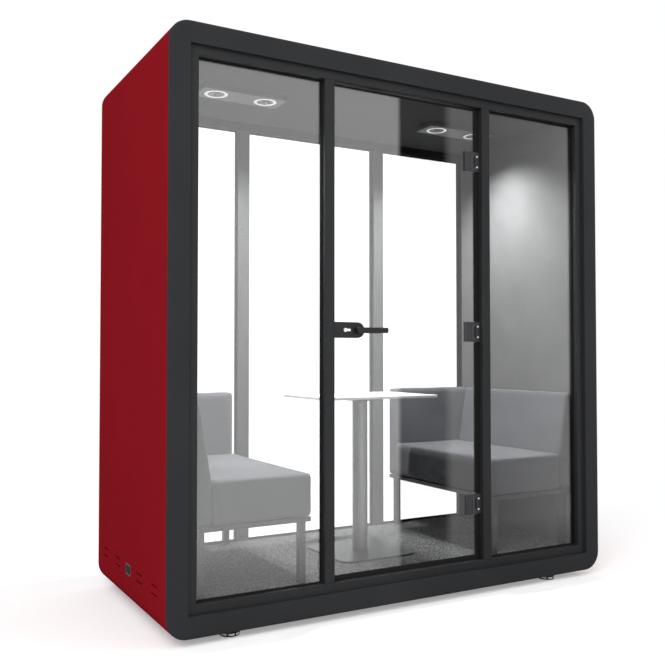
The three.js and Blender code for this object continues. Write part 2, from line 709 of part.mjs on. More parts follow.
// One lever on each side of the case, on a common spindle.
function lever() {
  const half = LEVER_TALL / 2;
  const bar = [
    ...arc(LEVER_X, LOCK_Z, half, 90, 270, SMALL_ROUND_STEPS / 2),
    ...arc(LEVER_X + LEVER_REACH - half / 2, LOCK_Z - half / 2, half / 2, 270, 360, EDGE_STEPS),
    ...arc(LEVER_X + LEVER_REACH - half / 2, LOCK_Z + half / 2, half / 2, 0, 90, EDGE_STEPS),
  ];
  const inner = CASE_REAR + GAP;
  const outer = CASE_FRONT - GAP;
  const reach = LEVER_STANDOFF + LEVER_THICKNESS;
  return join(
    cylinder(LEVER_X, LOCK_Z, SPINDLE_RADIUS, "y", outer - reach / 2, inner + reach / 2),
    cylinder(LEVER_X, LOCK_Z, LEVER_HUB_RADIUS, "y", outer - reach, outer, ROUND_STEPS),
    cylinder(LEVER_X, LOCK_Z, LEVER_HUB_RADIUS, "y", inner, inner + reach, ROUND_STEPS),
    prism(bar, "y", outer - reach, outer - LEVER_STANDOFF),
    prism(bar, "y", inner + LEVER_STANDOFF, inner + reach),
  );
}

// The lock: case on both faces of the glass, lever, latch bolt, key cylinder and its plug.
function addLock() {
  const insideLeft = -STOP_X + NOTCH_GAP;
  const latchLeft = LEAF_LEFT - LATCH_NOSE;
  const latch = (margin, travel) =>
    block(
      [latchLeft - margin, latchLeft + LATCH_LENGTH + margin + travel],
      [PANE_MID - LATCH_THICKNESS / 2 - margin, PANE_MID + LATCH_THICKNESS / 2 + margin],
      [LOCK_Z - LATCH_TALL / 2 - margin, LOCK_Z + LATCH_TALL / 2 + margin],
    );
  const frontPlate = prism(caseOutline(LEAF_LEFT), "y", CASE_FRONT, PANE_FRONT - GAP);
  const rearPlate = prism(caseOutline(insideLeft), "y", PANE_REAR + GAP, CASE_REAR);
  const core = block(
    [LEAF_LEFT, LEAF_LEFT + LOCK_NOTCH_LENGTH - GAP],
    [CASE_FRONT + LOCK_PROUD / 2, PANE_REAR + GAP],
    [LOCK_Z - LOCK_NOTCH_TALL / 2 + GAP, LOCK_Z + LOCK_NOTCH_TALL / 2 - GAP],
  );
  const coreRear = block(
    [insideLeft, LEAF_LEFT + LOCK_NOTCH_LENGTH - GAP],
    [PANE_REAR, CASE_REAR - LOCK_PROUD / 2],
    [LOCK_Z - LOCK_NOTCH_TALL / 2 + GAP, LOCK_Z + LOCK_NOTCH_TALL / 2 - GAP],
  );
  const boreEnds = [CASE_FRONT - CUT_MARGIN, CASE_REAR + CUT_MARGIN];
  const spindleBore = cylinder(LEVER_X, LOCK_Z, SPINDLE_RADIUS + GAP, "y", ...boreEnds);
  const cylinderBore = keyCylinder(GAP, CYLINDER_PROUD + CUT_MARGIN);
  const shell = join(frontPlate, rearPlate, core, coreRear);
  piece("lock_case", cut(shell, spindleBore, cylinderBore, latch(GAP, LATCH_TRAVEL)), "black");
  piece("latch_bolt", latch(0, 0), "steel");
  piece("lever_handle", lever(), "black");

  const plugFront = CASE_FRONT - CYLINDER_PROUD - PLUG_PROUD;
  const plugRear = CASE_REAR + CYLINDER_PROUD + PLUG_PROUD;
  const plugBore = cylinder(CYLINDER_X, LOCK_Z, PLUG_RADIUS + GAP, "y", plugFront, plugRear);
  piece("lock_cylinder", cut(keyCylinder(0, CYLINDER_PROUD), plugBore), "steel");
  const plug = cylinder(CYLINDER_X, LOCK_Z, PLUG_RADIUS, "y", plugFront, plugRear);
  const keyway = block(
    [CYLINDER_X - KEYWAY_TALL / 2, CYLINDER_X + KEYWAY_TALL / 2],
    [plugFront - CUT_MARGIN, plugFront + KEYWAY_DEPTH],
    [LOCK_Z - KEYWAY_WIDTH / 2, LOCK_Z + KEYWAY_WIDTH / 2],
  );
  piece("key_plug", cut(plug, keyway), "steel");
}

function addDoor() {
  addLeaf();
  for (const [name, z] of Object.entries(HINGE_LEVELS)) {
    addHinge(name, z);
  }
  addLock();
}

// Names and places of the fans, which also hold the ring lights.
function fanCentres() {
  const half = RING_PITCH / 2;
  return [
    [-UNIT_FROM_MIDDLE - half, "left_outer"],
    [-UNIT_FROM_MIDDLE + half, "left_inner"],
    [UNIT_FROM_MIDDLE - half, "right_inner"],
    [UNIT_FROM_MIDDLE + half, "right_outer"],
  ];
}

// An upright ring over the pod's long centre line.
function ringAt(x, outer, inner, from, to) {
  const hole = cylinder(x, 0, inner, "z", from - CUT_MARGIN, to + CUT_MARGIN, ROUND_STEPS);
  return cut(cylinder(x, 0, outer, "z", from, to, ROUND_STEPS), hole);
}

// A flat housing with two fan wells behind slotted grilles and a groove for each ring light.
function unitHousing(middle, centres) {
  const top = CEILING_Z - GAP;
  const bottom = CEILING_Z - UNIT_HEIGHT;
  const outline = roundedRect(middle, 0, UNIT_LENGTH / 2, UNIT_WIDTH / 2, UNIT_CORNER, EDGE_STEPS);
  let body = prism(outline, "z", bottom, top);
  for (const x of centres) {
    const grooveTop = bottom + LIGHT_DEPTH + GAP;
    const groove = ringAt(x, LIGHT_OUTER + GAP, LIGHT_INNER - GAP, bottom - CUT_MARGIN, grooveTop);
    const wellEnds = [bottom + GRILLE_THICKNESS, top + CUT_MARGIN];
    const well = cylinder(x, 0, FAN_WELL_RADIUS, "z", ...wellEnds, ROUND_STEPS);
    const slots = Array.from({ length: GRILLE_SLOTS }, (_, i) => {
      const slot = new THREE.BoxGeometry(
        FAN_WELL_RADIUS - FAN_HUB_RADIUS - 2 * FAN_TIP_GAP,
        GRILLE_SLOT_WIDTH,
        2 * GRILLE_THICKNESS,
      );
      slot.translate((FAN_WELL_RADIUS + FAN_HUB_RADIUS) / 2, 0, bottom + GRILLE_THICKNESS / 2);
      slot.rotateZ((2 * Math.PI * i) / GRILLE_SLOTS);
      return solid(slot.translate(x, 0, 0));
    });
    const shaftTop = bottom + GRILLE_THICKNESS + FAN_HEIGHT;
    const shaft = cylinder(x, 0, FAN_SHAFT_RADIUS, "z", bottom + GRILLE_THICKNESS / 2, shaftTop);
    body = join(cut(body, groove, well, ...slots), shaft);
  }
  return body;
}

// A hub with pitched blades, bored for the stub shaft.
function fanRotor(x) {
  const bottom = CEILING_Z - UNIT_HEIGHT + GRILLE_THICKNESS + GAP;
  const hub = cylinder(x, 0, FAN_HUB_RADIUS, "z", bottom, bottom + FAN_HEIGHT, ROUND_STEPS);
  const tip = FAN_WELL_RADIUS - FAN_TIP_GAP;
  const pitch = THREE.MathUtils.degToRad(FAN_BLADE_PITCH);
  const chord = (FAN_HEIGHT - 2 * FAN_TIP_GAP) / Math.sin(pitch);
  const blades = Array.from({ length: FAN_BLADES }, (_, i) => {
    const blade = new THREE.BoxGeometry(tip - FAN_HUB_RADIUS + FAN_TIP_GAP, chord, FAN_BLADE_THICKNESS);
    blade.rotateX(pitch);
    blade.translate((tip + FAN_HUB_RADIUS - FAN_TIP_GAP) / 2, 0, bottom + FAN_HEIGHT / 2);
    blade.rotateZ((2 * Math.PI * i) / FAN_BLADES);
    return solid(blade.translate(x, 0, 0));
  });
  const sweep = cylinder(x, 0, tip, "z", bottom, bottom + FAN_HEIGHT, ROUND_STEPS);
  const boreEnds = [bottom - CUT_MARGIN, bottom + FAN_HEIGHT + CUT_MARGIN];
  const bore = cylinder(x, 0, FAN_SHAFT_RADIUS + GAP, "z", ...boreEnds);
  return cut(join(hub, ...blades.map((blade) => blade.intersect(sweep))), bore);
}

function addCeilingUnits() {
  const bottom = CEILING_Z - UNIT_HEIGHT;
  for (const side of ["left", "right"]) {
    const fans = fanCentres().filter(([, name]) => name.startsWith(side));
    const centres = fans.map(([x]) => x);
    const middle = (centres[0] + centres[1]) / 2;
    piece(`${side}_light_housing`, unitHousing(middle, centres), "white");
    for (const [x, name] of fans) {
      const ring = ringAt(x, LIGHT_OUTER, LIGHT_INNER, bottom, bottom + LIGHT_DEPTH);
      piece(`${name}_ring_light`, ring, "light");
      piece(`${name}_fan_rotor`, fanRotor(x), "black");
    }
  }
}

// Stations along half of a cushion's side: close together over the rounded edge, even between.
function stations(half, spans, extra = []) {
  const edge = CUSHION_EDGE;
  const even = Array.from({ length: spans + 1 }, (_, i) => (half - edge) * ((2 * i) / spans - 1));
  const places = [-half, -half + edge / 3, ...even, ...extra, half - edge / 3, half];
  return places.sort((a, b) => a - b);
}

// An upholstered block with rounded edges, a crowned top and sides drawn in between the corners.
function cushion(size, spans, { extra = [], shape = (point) => point } = {}) {
  const half = size.map((length) => length / 2);
  const places = half.map((length, axis) => stations(length, spans[axis], axis === 2 ? extra : []));
  const counts = places.map((row) => row.length - 1);
  const geometry = new THREE.BoxGeometry(...counts, ...counts);
  const position = geometry.getAttribute("position");
  for (let i = 0; i < position.count; i += 1) {
    const raw = [position.getX(i), position.getY(i), position.getZ(i)];
    const start = raw.map((value, axis) => places[axis][Math.round(value + counts[axis] / 2)]);
    const core = start.map((value, axis) =>
      THREE.MathUtils.clamp(value, CUSHION_EDGE - half[axis], half[axis] - CUSHION_EDGE),
    );
    const outward = start.map((value, axis) => value - core[axis]);
    const offset = new THREE.Vector3(...outward).setLength(CUSHION_EDGE);
    const swell = core.map((value, axis) => 1 - (value / (half[axis] - CUSHION_EDGE)) ** 2);
    const top = core[2] > half[2] - CUSHION_EDGE - GAP ? CUSHION_CROWN * swell[0] * swell[1] : 0;
    const drawX = Math.sign(offset.x) * CUSHION_DRAW * swell[1] * swell[2];
    const drawY = Math.sign(offset.y) * CUSHION_DRAW * swell[0] * swell[2];
    const point = [core[0] + offset.x - drawX, core[1] + offset.y - drawY, core[2] + offset.z + top];
    position.setXYZ(i, ...shape(point));
  }
  return geometry;
}

// A bench: a base on legs, a seat, a leaning back and an arm at the rear end. Side is -1 left, 1 right.
function addBench(name, side) {
  const wallX = JAMB_X - BENCH_JAMB_GAP;
  const seatX = MULLION_X + BENCH_TO_MULLION;
  const depth = wallX - seatX;
  const near = PANE_REAR + BENCH_END_GAP;
  const far = -near;
  const armNear = far - ARM_THICKNESS;
  const seatTop = CARPET_Z + SEAT_TOP;
  const bottom = seatTop - SEAT_THICKNESS;
  const backTop = CARPET_Z + BACK_TOP;
  const tall = backTop - bottom;
  const length = armNear - GAP - near;
  const midY = (near + armNear - GAP) / 2;

  const seatDepth = depth - BACK_FOOT_THICKNESS - GAP;
  const seat = cushion([seatDepth, length, SEAT_THICKNESS], SEAT_SPANS);
  seat.translate(side * (seatX + seatDepth / 2), midY, (bottom + seatTop) / 2);
  piece(`${name}_bench_seat`, solid(seat), "upholstery");

  const bend = seatTop - (bottom + backTop) / 2;
  const lean = ([x, y, z]) => {
    const rise = Math.max(0, (z - bend) / (tall / 2 - bend));
    const thickness = THREE.MathUtils.lerp(BACK_FOOT_THICKNESS, BACK_TOP_THICKNESS, Math.min(rise, 1));
    const fromWall = BACK_FOOT_THICKNESS / 2 + side * -x;
    const scaled = (fromWall / BACK_FOOT_THICKNESS) * thickness;
    return [side * (BACK_FOOT_THICKNESS / 2 - scaled), y, z];
  };
  const backSize = [BACK_FOOT_THICKNESS, length, tall - CUSHION_CROWN];
  const back = cushion(backSize, BACK_SPANS, { extra: [bend], shape: lean });
  back.translate(side * (wallX - BACK_FOOT_THICKNESS / 2), midY, (bottom + backTop) / 2);
  piece(`${name}_bench_back`, solid(back), "upholstery");

  const arm = benchArm(side, [seatX, wallX], [armNear, far], [bottom, backTop]);
  piece(`${name}_bench_arm`, arm, "upholstery");

  const railZ = [bottom - BASE_BOARD, bottom - GAP];
  const xs = [side * (seatX + BASE_INSET), side * (wallX - BASE_INSET)];
  const board = block(xs, [near + BASE_INSET, far - BASE_INSET], railZ);
  const legs = [];
  for (const x of [seatX + LEG_INSET, wallX - LEG_INSET - LEG_SIZE]) {
    for (const y of [near + LEG_INSET, far - LEG_INSET - LEG_SIZE]) {
      const levels = [CARPET_Z + GAP, railZ[0] + BASE_BOARD / 2];
      legs.push(block([side * x, side * (x + LEG_SIZE)], [y, y + LEG_SIZE], levels));
    }
  }
  piece(`${name}_bench_frame`, join(board, ...legs), "black");
}

// The arm's inner front edge is a wide round, and its other edges are slightly rounded.
function benchArm(side, [seatX, wallX], [near, far], [bottom, top]) {
  const small = CUSHION_EDGE;
  const loop = (inset, z) => {
    const x0 = seatX + inset;
    const x1 = wallX - inset;
    const y0 = near + inset;
    const y1 = far - inset;
    const wide = ARM_END_RADIUS;
    const points = [
      ...arc(x0 + wide, y0 + wide, wide, 180, 270, CORNER_STEPS / 2),
      ...arc(x1 - small, y0 + small, small, 270, 360, EDGE_STEPS),
      ...arc(x1 - small, y1 - small, small, 0, 90, EDGE_STEPS),
      ...arc(x0 + small, y1 - small, small, 90, 180, EDGE_STEPS),
    ];
    const placed = points.map(([x, y]) => [side * x, y, z]);
    return side > 0 ? placed : placed.reverse();
  };
  const round = Array.from({ length: EDGE_STEPS }, (_, i) => (Math.PI / 2) * (i / (EDGE_STEPS - 1)));
  const lower = round.map((a) => loop(small * (1 - Math.sin(a)), bottom + small * (1 - Math.cos(a))));
  const upper = round.map((a) => loop(small * (1 - Math.cos(a)), top - small * (1 - Math.sin(a))));
  return skin([...lower, ...upper], false);
}

// The pedestal table, centred on the seats' length.
function addTable() {
  const y = -ARM_THICKNESS / 2;
  const top = CARPET_Z + TABLE_TOP;
  const under = top - TABLE_THICKNESS;
  const plateTop = CARPET_Z + GAP + FOOTPLATE_THICKNESS;
  const slab = roundedRect(0, y, TABLE_LENGTH / 2, TABLE_WIDTH / 2, TABLE_CORNER, EDGE_STEPS);
  piece("table_top", prism(slab, "z", under, top), "white");

  const square = (size, z) => [
    [-size / 2, y - size / 2, z],
    [size / 2, y - size / 2, z],
    [size / 2, y + size / 2, z],
    [-size / 2, y + size / 2, z],
  ];
  const mountTop = under - GAP;
  const mount = skin([square(MOUNT_LOWER, mountTop - MOUNT_HEIGHT), square(MOUNT_UPPER, mountTop)], false);
  const column = cylinder(0, y, COLUMN_RADIUS, "z", plateTop + GAP, under - MOUNT_HEIGHT / 2, ROUND_STEPS);
  piece("table_column", join(column, mount), "steel");

  const half = FOOTPLATE_SIZE / 2;
  const foot = roundedRect(0, y, half, half, FOOTPLATE_CORNER, CORNER_STEPS / 2);
  piece("table_base", prism(foot, "z", CARPET_Z + GAP, plateTop), "darkMetal");
}

addFaces();
addShell();
addDoor();
addCeilingUnits();
addBench("left", -1);
addBench("right", 1);
addTable();

export default pod;
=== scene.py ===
"""Looks of a two-seat acoustic office pod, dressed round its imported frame.

Everything is in metres in the pod's own frame: the door faces -Y, +X is to the right seen from the
door, and the floor is at Z 0.
"""

from __future__ import annotations

import json
import logging
import math
from dataclasses import dataclass
from enum import Enum
from typing import Callable, Sequence

import bpy
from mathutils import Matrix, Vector

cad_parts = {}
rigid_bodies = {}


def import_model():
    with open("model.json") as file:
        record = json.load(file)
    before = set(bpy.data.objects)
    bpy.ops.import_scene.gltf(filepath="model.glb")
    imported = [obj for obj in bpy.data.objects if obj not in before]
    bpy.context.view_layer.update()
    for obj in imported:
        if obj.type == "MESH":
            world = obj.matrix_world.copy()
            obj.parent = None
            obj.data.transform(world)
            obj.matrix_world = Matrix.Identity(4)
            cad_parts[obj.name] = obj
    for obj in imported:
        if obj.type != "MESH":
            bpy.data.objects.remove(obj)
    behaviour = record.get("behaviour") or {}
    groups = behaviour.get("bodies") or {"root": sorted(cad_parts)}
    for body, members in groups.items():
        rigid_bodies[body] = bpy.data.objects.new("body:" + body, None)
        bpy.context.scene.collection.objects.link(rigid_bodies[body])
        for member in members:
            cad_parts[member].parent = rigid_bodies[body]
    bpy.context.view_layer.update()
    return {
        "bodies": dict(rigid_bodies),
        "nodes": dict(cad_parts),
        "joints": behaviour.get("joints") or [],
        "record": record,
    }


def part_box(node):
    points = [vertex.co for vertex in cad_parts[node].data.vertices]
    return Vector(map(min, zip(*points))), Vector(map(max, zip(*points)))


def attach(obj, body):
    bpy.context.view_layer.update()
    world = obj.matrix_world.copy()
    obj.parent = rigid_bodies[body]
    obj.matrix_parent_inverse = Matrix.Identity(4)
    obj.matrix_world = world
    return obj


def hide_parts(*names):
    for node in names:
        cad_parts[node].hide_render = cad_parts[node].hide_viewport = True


LOG = logging.getLogger("pod")

Colour = tuple[float, float, float]
Point = tuple[float, float, float]
EdgeTest = Callable[[Vector, Vector], bool]


class Side(Enum):
    """The two ends of the pod along X."""

    LEFT = -1
    RIGHT = 1

    @property
    def word(self) -> str:
        """The word that node names start with."""
        return self.name.lower()


class LeafEdge(Enum):
    """An edge of the door leaf that has a trim."""

    HEAD = "head"
    HINGE = "hinge"


HINGE_LEVELS = ("lower", "middle", "upper")
CORNERS = ("left_front", "right_front", "left_rear", "right_rear")
RING_LIGHTS = ("left_outer", "left_inner", "right_inner", "right_outer")
BLACK: Colour = (0.0, 0.0, 0.0)
WHITE: Colour = (1.0, 1.0, 1.0)
FACES_ALONG = 0.9


# Shader trees


class Tree:
    """A small wrapper that adds and links nodes in one node tree."""

    def __init__(self, tree: bpy.types.NodeTree) -> None:
        """Keeps the tree and clears what Blender put in it.

        Args:
            tree: the node tree of a material, a world or a group.
        """
        self.tree = tree
        self.tree.nodes.clear()

    def add(self, kind: str, /, **settings: object) -> bpy.types.Node:
        """Adds a node.

        Args:
            kind: the node's type name, such as ShaderNodeBump.
            settings: attributes to set on it, or values for its input sockets by name with _ for spaces.

        Returns:
            The new node.
        """
        node = self.tree.nodes.new(kind)
        for name, value in settings.items():
            if hasattr(node, name):
                setattr(node, name, value)
            else:
                node.inputs[name.replace("_", " ")].default_value = value
        return node

    def link(self, source: bpy.types.NodeSocket, target: bpy.types.NodeSocket) -> None:
        """Links one socket to another.

        Args:
            source: an output socket.
            target: an input socket.
        """
        self.tree.links.new(source, target)

    def noise(self, place: bpy.types.NodeSocket, scale: float, detail: float = 2.0) -> bpy.types.NodeSocket:
        """Adds a noise texture.

        Args:
            place: the coordinates that it reads.
            scale: features per metre.
            detail: octaves of finer noise.

        Returns:
            Its grey value.
        """
        node = self.add("ShaderNodeTexNoise", Scale=scale, Detail=detail)
        self.link(place, node.inputs["Vector"])
        return node.outputs["Fac"]

    def ramp(self, value: bpy.types.NodeSocket, low: float, high: float) -> bpy.types.NodeSocket:
        """Spreads a value between two limits over 0 to 1.

        Args:
            value: the value.
            low: what becomes 0.
            high: what becomes 1.

        Returns:
            The spread value, held between 0 and 1.
        """
        node = self.add("ShaderNodeMapRange", From_Min=low, From_Max=high)
        self.link(value, node.inputs["Value"])
        return node.outputs["Result"]

    def mix(self, factor: bpy.types.NodeSocket, first: object, second: object) -> bpy.types.NodeSocket:
        """Mixes two colours, each a socket or a plain colour.

        Args:
            factor: 0 for the first colour, 1 for the second.
            first: the first colour.
            second: the second colour.

        Returns:
            The mixed colour.
        """
        node = self.add("ShaderNodeMix", data_type="RGBA")
        self.link(factor, node.inputs["Factor"])
        for colour, name in ((first, "A"), (second, "B")):
            socket = next(s for s in node.inputs if s.name == name and s.type == "RGBA")
            if isinstance(colour, bpy.types.NodeSocket):
                self.link(colour, socket)
            else:
                socket.default_value = (*colour, 1.0)
        return next(s for s in node.outputs if s.type == "RGBA")

    def math(self, operation: str, *values: object) -> bpy.types.NodeSocket:
        """Adds a math node.

        Args:
            operation: what it does, by Blender's name.
            values: its inputs, each a socket or a number.

        Returns:
            Its result.
        """
        node = self.add("ShaderNodeMath", operation=operation)
        for socket, value in zip(node.inputs, values):
            if isinstance(value, bpy.types.NodeSocket):
                self.link(value, socket)
            else:
                socket.default_value = value
        return node.outputs[0]

    def blend(
        self, factor: bpy.types.NodeSocket, first: bpy.types.Node, second: bpy.types.Node
    ) -> bpy.types.Node:
        """Mixes two shaders.

        Args:
            factor: 0 for the first shader, 1 for the second.
            first: the first shader's node.
            second: the second shader's node.

        Returns:
            The mixing node.
        """
        node = self.add("ShaderNodeMixShader")
        for source, socket in zip((factor, first.outputs[0], second.outputs[0]), node.inputs):
            self.link(source, socket)
        return node

    def emission(self) -> bpy.types.Node:
        """Adds a white emission of strength 1 and returns its node."""
        return self.add("ShaderNodeEmission", Color=(*WHITE, 1.0), Strength=1.0)


class Groups:
    """Shader node groups that several finishes share, each built once."""

    built: dict[str, bpy.types.NodeTree] = {}

    @classmethod
    def get(cls, name: str, build: Callable[[str], bpy.types.NodeTree]) -> bpy.types.NodeTree:
        """Finds a group, or builds it the first time.

        Args:
            name: the group's name.
            build: the function that builds it.

        Returns:
            The group.
        """
        if name not in cls.built:
            cls.built[name] = build(name)
        return cls.built[name]

    @staticmethod
    def start(
        name: str, inputs: dict[str, object], outputs: dict[str, str]
    ) -> tuple[Tree, bpy.types.Node, bpy.types.Node]:
        """Starts a group.

        Args:
            name: the group's name.
            inputs: socket names and default values: a number or a colour.
            outputs: socket names and their types: Color or Float.

        Returns:
            The tree, its input node and its output node.
        """
        group = bpy.data.node_groups.new(name, "ShaderNodeTree")
        for label, value in inputs.items():
            kind = "NodeSocketFloat" if isinstance(value, float) else "NodeSocketColor"
            socket = group.interface.new_socket(label, in_out="INPUT", socket_type=kind)
            socket.default_value = value if isinstance(value, float) else (*value, 1.0)
        for label, kind in outputs.items():
            group.interface.new_socket(label, in_out="OUTPUT", socket_type=f"NodeSocket{kind}")
        tree = Tree(group)
        return tree, tree.add("NodeGroupInput"), tree.add("NodeGroupOutput")


def build_fibre_group(name: str) -> bpy.types.NodeTree:
    """Loose fibres with flecks: the surface of felt, wool and carpet pile.

    Args:
        name: the group's name.

    Returns:
        The group.
    """
    fleck_band = (0.45, 0.68)
    cloud_scale, cloud_detail, cloud_band = 6.0, 3.0, (0.35, 0.7)
    clump_share, clump_height = 0.37, 0.8
    least_rough, rough_swing = 0.86, 0.12
    tree, given, out = Groups.start(
        name,
        {
            "Base": (0.1, 0.1, 0.1),
            "Fleck": (0.2, 0.2, 0.2),
            "Scale": 400.0,
            "Fleck Share": 0.4,
            "Cloud": 0.15,
        },
        {"Color": "Color", "Height": "Float", "Roughness": "Float"},
    )
    place = tree.add("ShaderNodeTexCoord").outputs["Object"]
    fine = tree.add("ShaderNodeTexNoise", Detail=4.0, Roughness=0.7)
    tree.link(place, fine.inputs["Vector"])
    tree.link(given.outputs["Scale"], fine.inputs["Scale"])
    fibre = fine.outputs["Fac"]
    clump = tree.add("ShaderNodeTexVoronoi", feature="F1")
    tree.link(place, clump.inputs["Vector"])
    tree.link(tree.math("MULTIPLY", given.outputs["Scale"], clump_share), clump.inputs["Scale"])
    share = tree.math("MULTIPLY", tree.ramp(fibre, *fleck_band), given.outputs["Fleck Share"])
    flecked = tree.mix(share, given.outputs["Base"], given.outputs["Fleck"])
    drift = tree.ramp(tree.noise(place, cloud_scale, cloud_detail), *cloud_band)
    cloud = tree.math("MULTIPLY", drift, given.outputs["Cloud"])
    tree.link(tree.mix(cloud, flecked, BLACK), out.inputs["Color"])
    rise = tree.math("MULTIPLY", clump.outputs["Distance"], clump_height)
    tree.link(tree.math("ADD", fibre, rise), out.inputs["Height"])
    rough = tree.math("ADD", tree.math("MULTIPLY", fibre, rough_swing), least_rough)
    tree.link(rough, out.inputs["Roughness"])
    return tree.tree


def build_coat_group(name: str) -> bpy.types.NodeTree:
    """The fine orange peel of a sprayed or powder coat, with a faint unevenness in its shade.

    Args:
        name: the group's name.

    Returns:
        The group.
    """
    drift_scale, drift_detail, drift_band = 2.3, 4.0, (0.35, 0.65)
    swing_scale, swing_detail, swing_middle, swing_size = 14.0, 3.0, 0.5, 0.12
    tree, given, out = Groups.start(
        name,
        {"Base": (0.1, 0.1, 0.1), "Scale": 900.0, "Shade": 0.12, "Roughness": 0.5},
        {"Color": "Color", "Height": "Float", "Roughness": "Float"},
    )
    place = tree.add("ShaderNodeTexCoord").outputs["Object"]
    peel = tree.add("ShaderNodeTexNoise", Detail=2.0)
    tree.link(place, peel.inputs["Vector"])
    tree.link(given.outputs["Scale"], peel.inputs["Scale"])
    drift = tree.ramp(tree.noise(place, drift_scale, drift_detail), *drift_band)
    shade = tree.math("MULTIPLY", drift, given.outputs["Shade"])
    tree.link(tree.mix(shade, given.outputs["Base"], BLACK), out.inputs["Color"])
    tree.link(peel.outputs["Fac"], out.inputs["Height"])
    about = tree.math("SUBTRACT", tree.noise(place, swing_scale, swing_detail), swing_middle)
    swing = tree.math("MULTIPLY", about, swing_size)
    tree.link(tree.math("ADD", given.outputs["Roughness"], swing), out.inputs["Roughness"])
    return tree.tree


def build_brush_group(name: str) -> bpy.types.NodeTree:
    """Long fine scratches along one direction, as on brushed metal.

    Args:
        name: the group's name.

    Returns:
        The group.
    """
    along_lines = (1.0, 1.0, 0.02)
    line_band, line_share, line_shade = (0.35, 0.7), 0.35, (0.02, 0.02, 0.02)
    swing_middle, swing_size = 0.5, 0.25
    tree, given, out = Groups.start(
        name,
        {"Base": (0.5, 0.5, 0.5), "Scale": 500.0, "Roughness": 0.35},
        {"Color": "Color", "Height": "Float", "Roughness": "Float"},
    )
    place = tree.add("ShaderNodeTexCoord").outputs["Object"]
    stretch = tree.add("ShaderNodeMapping", vector_type="POINT")
    stretch.inputs["Scale"].default_value = along_lines
    tree.link(place, stretch.inputs["Vector"])
    scratch = tree.add("ShaderNodeTexNoise", Detail=3.0)
    tree.link(stretch.outputs["Vector"], scratch.inputs["Vector"])
    tree.link(given.outputs["Scale"], scratch.inputs["Scale"])
    lines = scratch.outputs["Fac"]
    share = tree.math("MULTIPLY", tree.ramp(lines, *line_band), line_share)
    tree.link(tree.mix(share, given.outputs["Base"], line_shade), out.inputs["Color"])
    tree.link(lines, out.inputs["Height"])
    swing = tree.math("MULTIPLY", tree.math("SUBTRACT", lines, swing_middle), swing_size)
    tree.link(tree.math("ADD", given.outputs["Roughness"], swing), out.inputs["Roughness"])
    return tree.tree


# Finishes


BUMP_STRENGTH = 0.6


@dataclass(frozen=True)
class Finish:
    """A finish of the pod. Subclasses build its material."""

    name: str

    def material(self) -> bpy.types.Material:
        """Finds this finish's material, or builds it the first time.

        Returns:
            The material.
        """
        label = f"{self.name}_finish"
        found = bpy.data.materials.get(label)
        if found is not None:
            return found
        made = bpy.data.materials.new(label)
        made.use_nodes = True
        self.paint(made)
        return made

    def paint(self, made: bpy.types.Material) -> None:
        """Fills the material's node tree, in each kind of finish.

        Args:
            made: the new material.
        """
        raise NotImplementedError

    @staticmethod
    def surface(made: bpy.types.Material, **settings: object) -> tuple[Tree, bpy.types.Node, bpy.types.Node]:
        """Starts a material with a Principled shader.

        Args:
            made: the material.
            settings: plain values for the shader's sockets, by name with _ for spaces.

        Returns:
            The tree, the shader and the material output.
        """
        tree = Tree(made.node_tree)
        shader = tree.add("ShaderNodeBsdfPrincipled", **settings)
        out = tree.add("ShaderNodeOutputMaterial")
        tree.link(shader.outputs["BSDF"], out.inputs["Surface"])
        return tree, shader, out

    @staticmethod
    def dress(
        tree: Tree, shader: bpy.types.Node, group: bpy.types.NodeTree, values: dict[str, object], bump: float
    ) -> None:
        """Feeds a shader's colour, roughness and normal from a shared group.

        Args:
            tree: the material's tree.
            shader: its Principled shader.
            group: the shared group.
            values: the group's inputs: numbers or colours.
            bump: how deep its height is, in metres.
        """
        node = tree.add("ShaderNodeGroup", node_tree=group)
        for label, value in values.items():
            node.inputs[label].default_value = value if isinstance(value, float) else (*value, 1.0)
        tree.link(node.outputs["Color"], shader.inputs["Base Color"])
        tree.link(node.outputs["Roughness"], shader.inputs["Roughness"])
        relief = tree.add("ShaderNodeBump", Strength=BUMP_STRENGTH, Distance=bump)
        tree.link(node.outputs["Height"], relief.inputs["Height"])
        tree.link(relief.outputs["Normal"], shader.inputs["Normal"])


@dataclass(frozen=True)
class Coat(Finish):
    """A sprayed or powder-coated metal or plastic."""

    base: Colour
    roughness: float
    specular: float = 0.5
    peel: float = 0.00015
    scale: float = 900.0
    shade: float = 0.12

    def paint(self, made: bpy.types.Material) -> None:
        """Builds the coat with its orange peel.

        Args:
            made: the new material.
        """
        tree, shader, _ = self.surface(made, Specular_IOR_Level=self.specular)
        group = Groups.get("coat_peel", build_coat_group)
        values = {"Base": self.base, "Scale": self.scale, "Shade": self.shade, "Roughness": self.roughness}
        self.dress(tree, shader, group, values, self.peel)


@dataclass(frozen=True)
class Fibre(Finish):
    """A felt, wool or carpet surface."""

    base: Colour
    fleck: Colour
    scale: float
    share: float
    depth: float
    cloud: float = 0.15
    specular: float = 0.15
    sheen: float = 0.15
    sheen_roughness: float = 0.6

    def paint(self, made: bpy.types.Material) -> None:
        """Builds the fibres.

        Args:
            made: the new material.
        """
        tree, shader, _ = self.surface(
            made,
            Specular_IOR_Level=self.specular,
            Sheen_Weight=self.sheen,
            Sheen_Roughness=self.sheen_roughness,
        )
        group = Groups.get("loose_fibre", build_fibre_group)
        values = {
            "Base": self.base,
            "Fleck": self.fleck,
            "Scale": self.scale,
            "Fleck Share": self.share,
            "Cloud": self.cloud,
        }
        self.dress(tree, shader, group, values, self.depth)


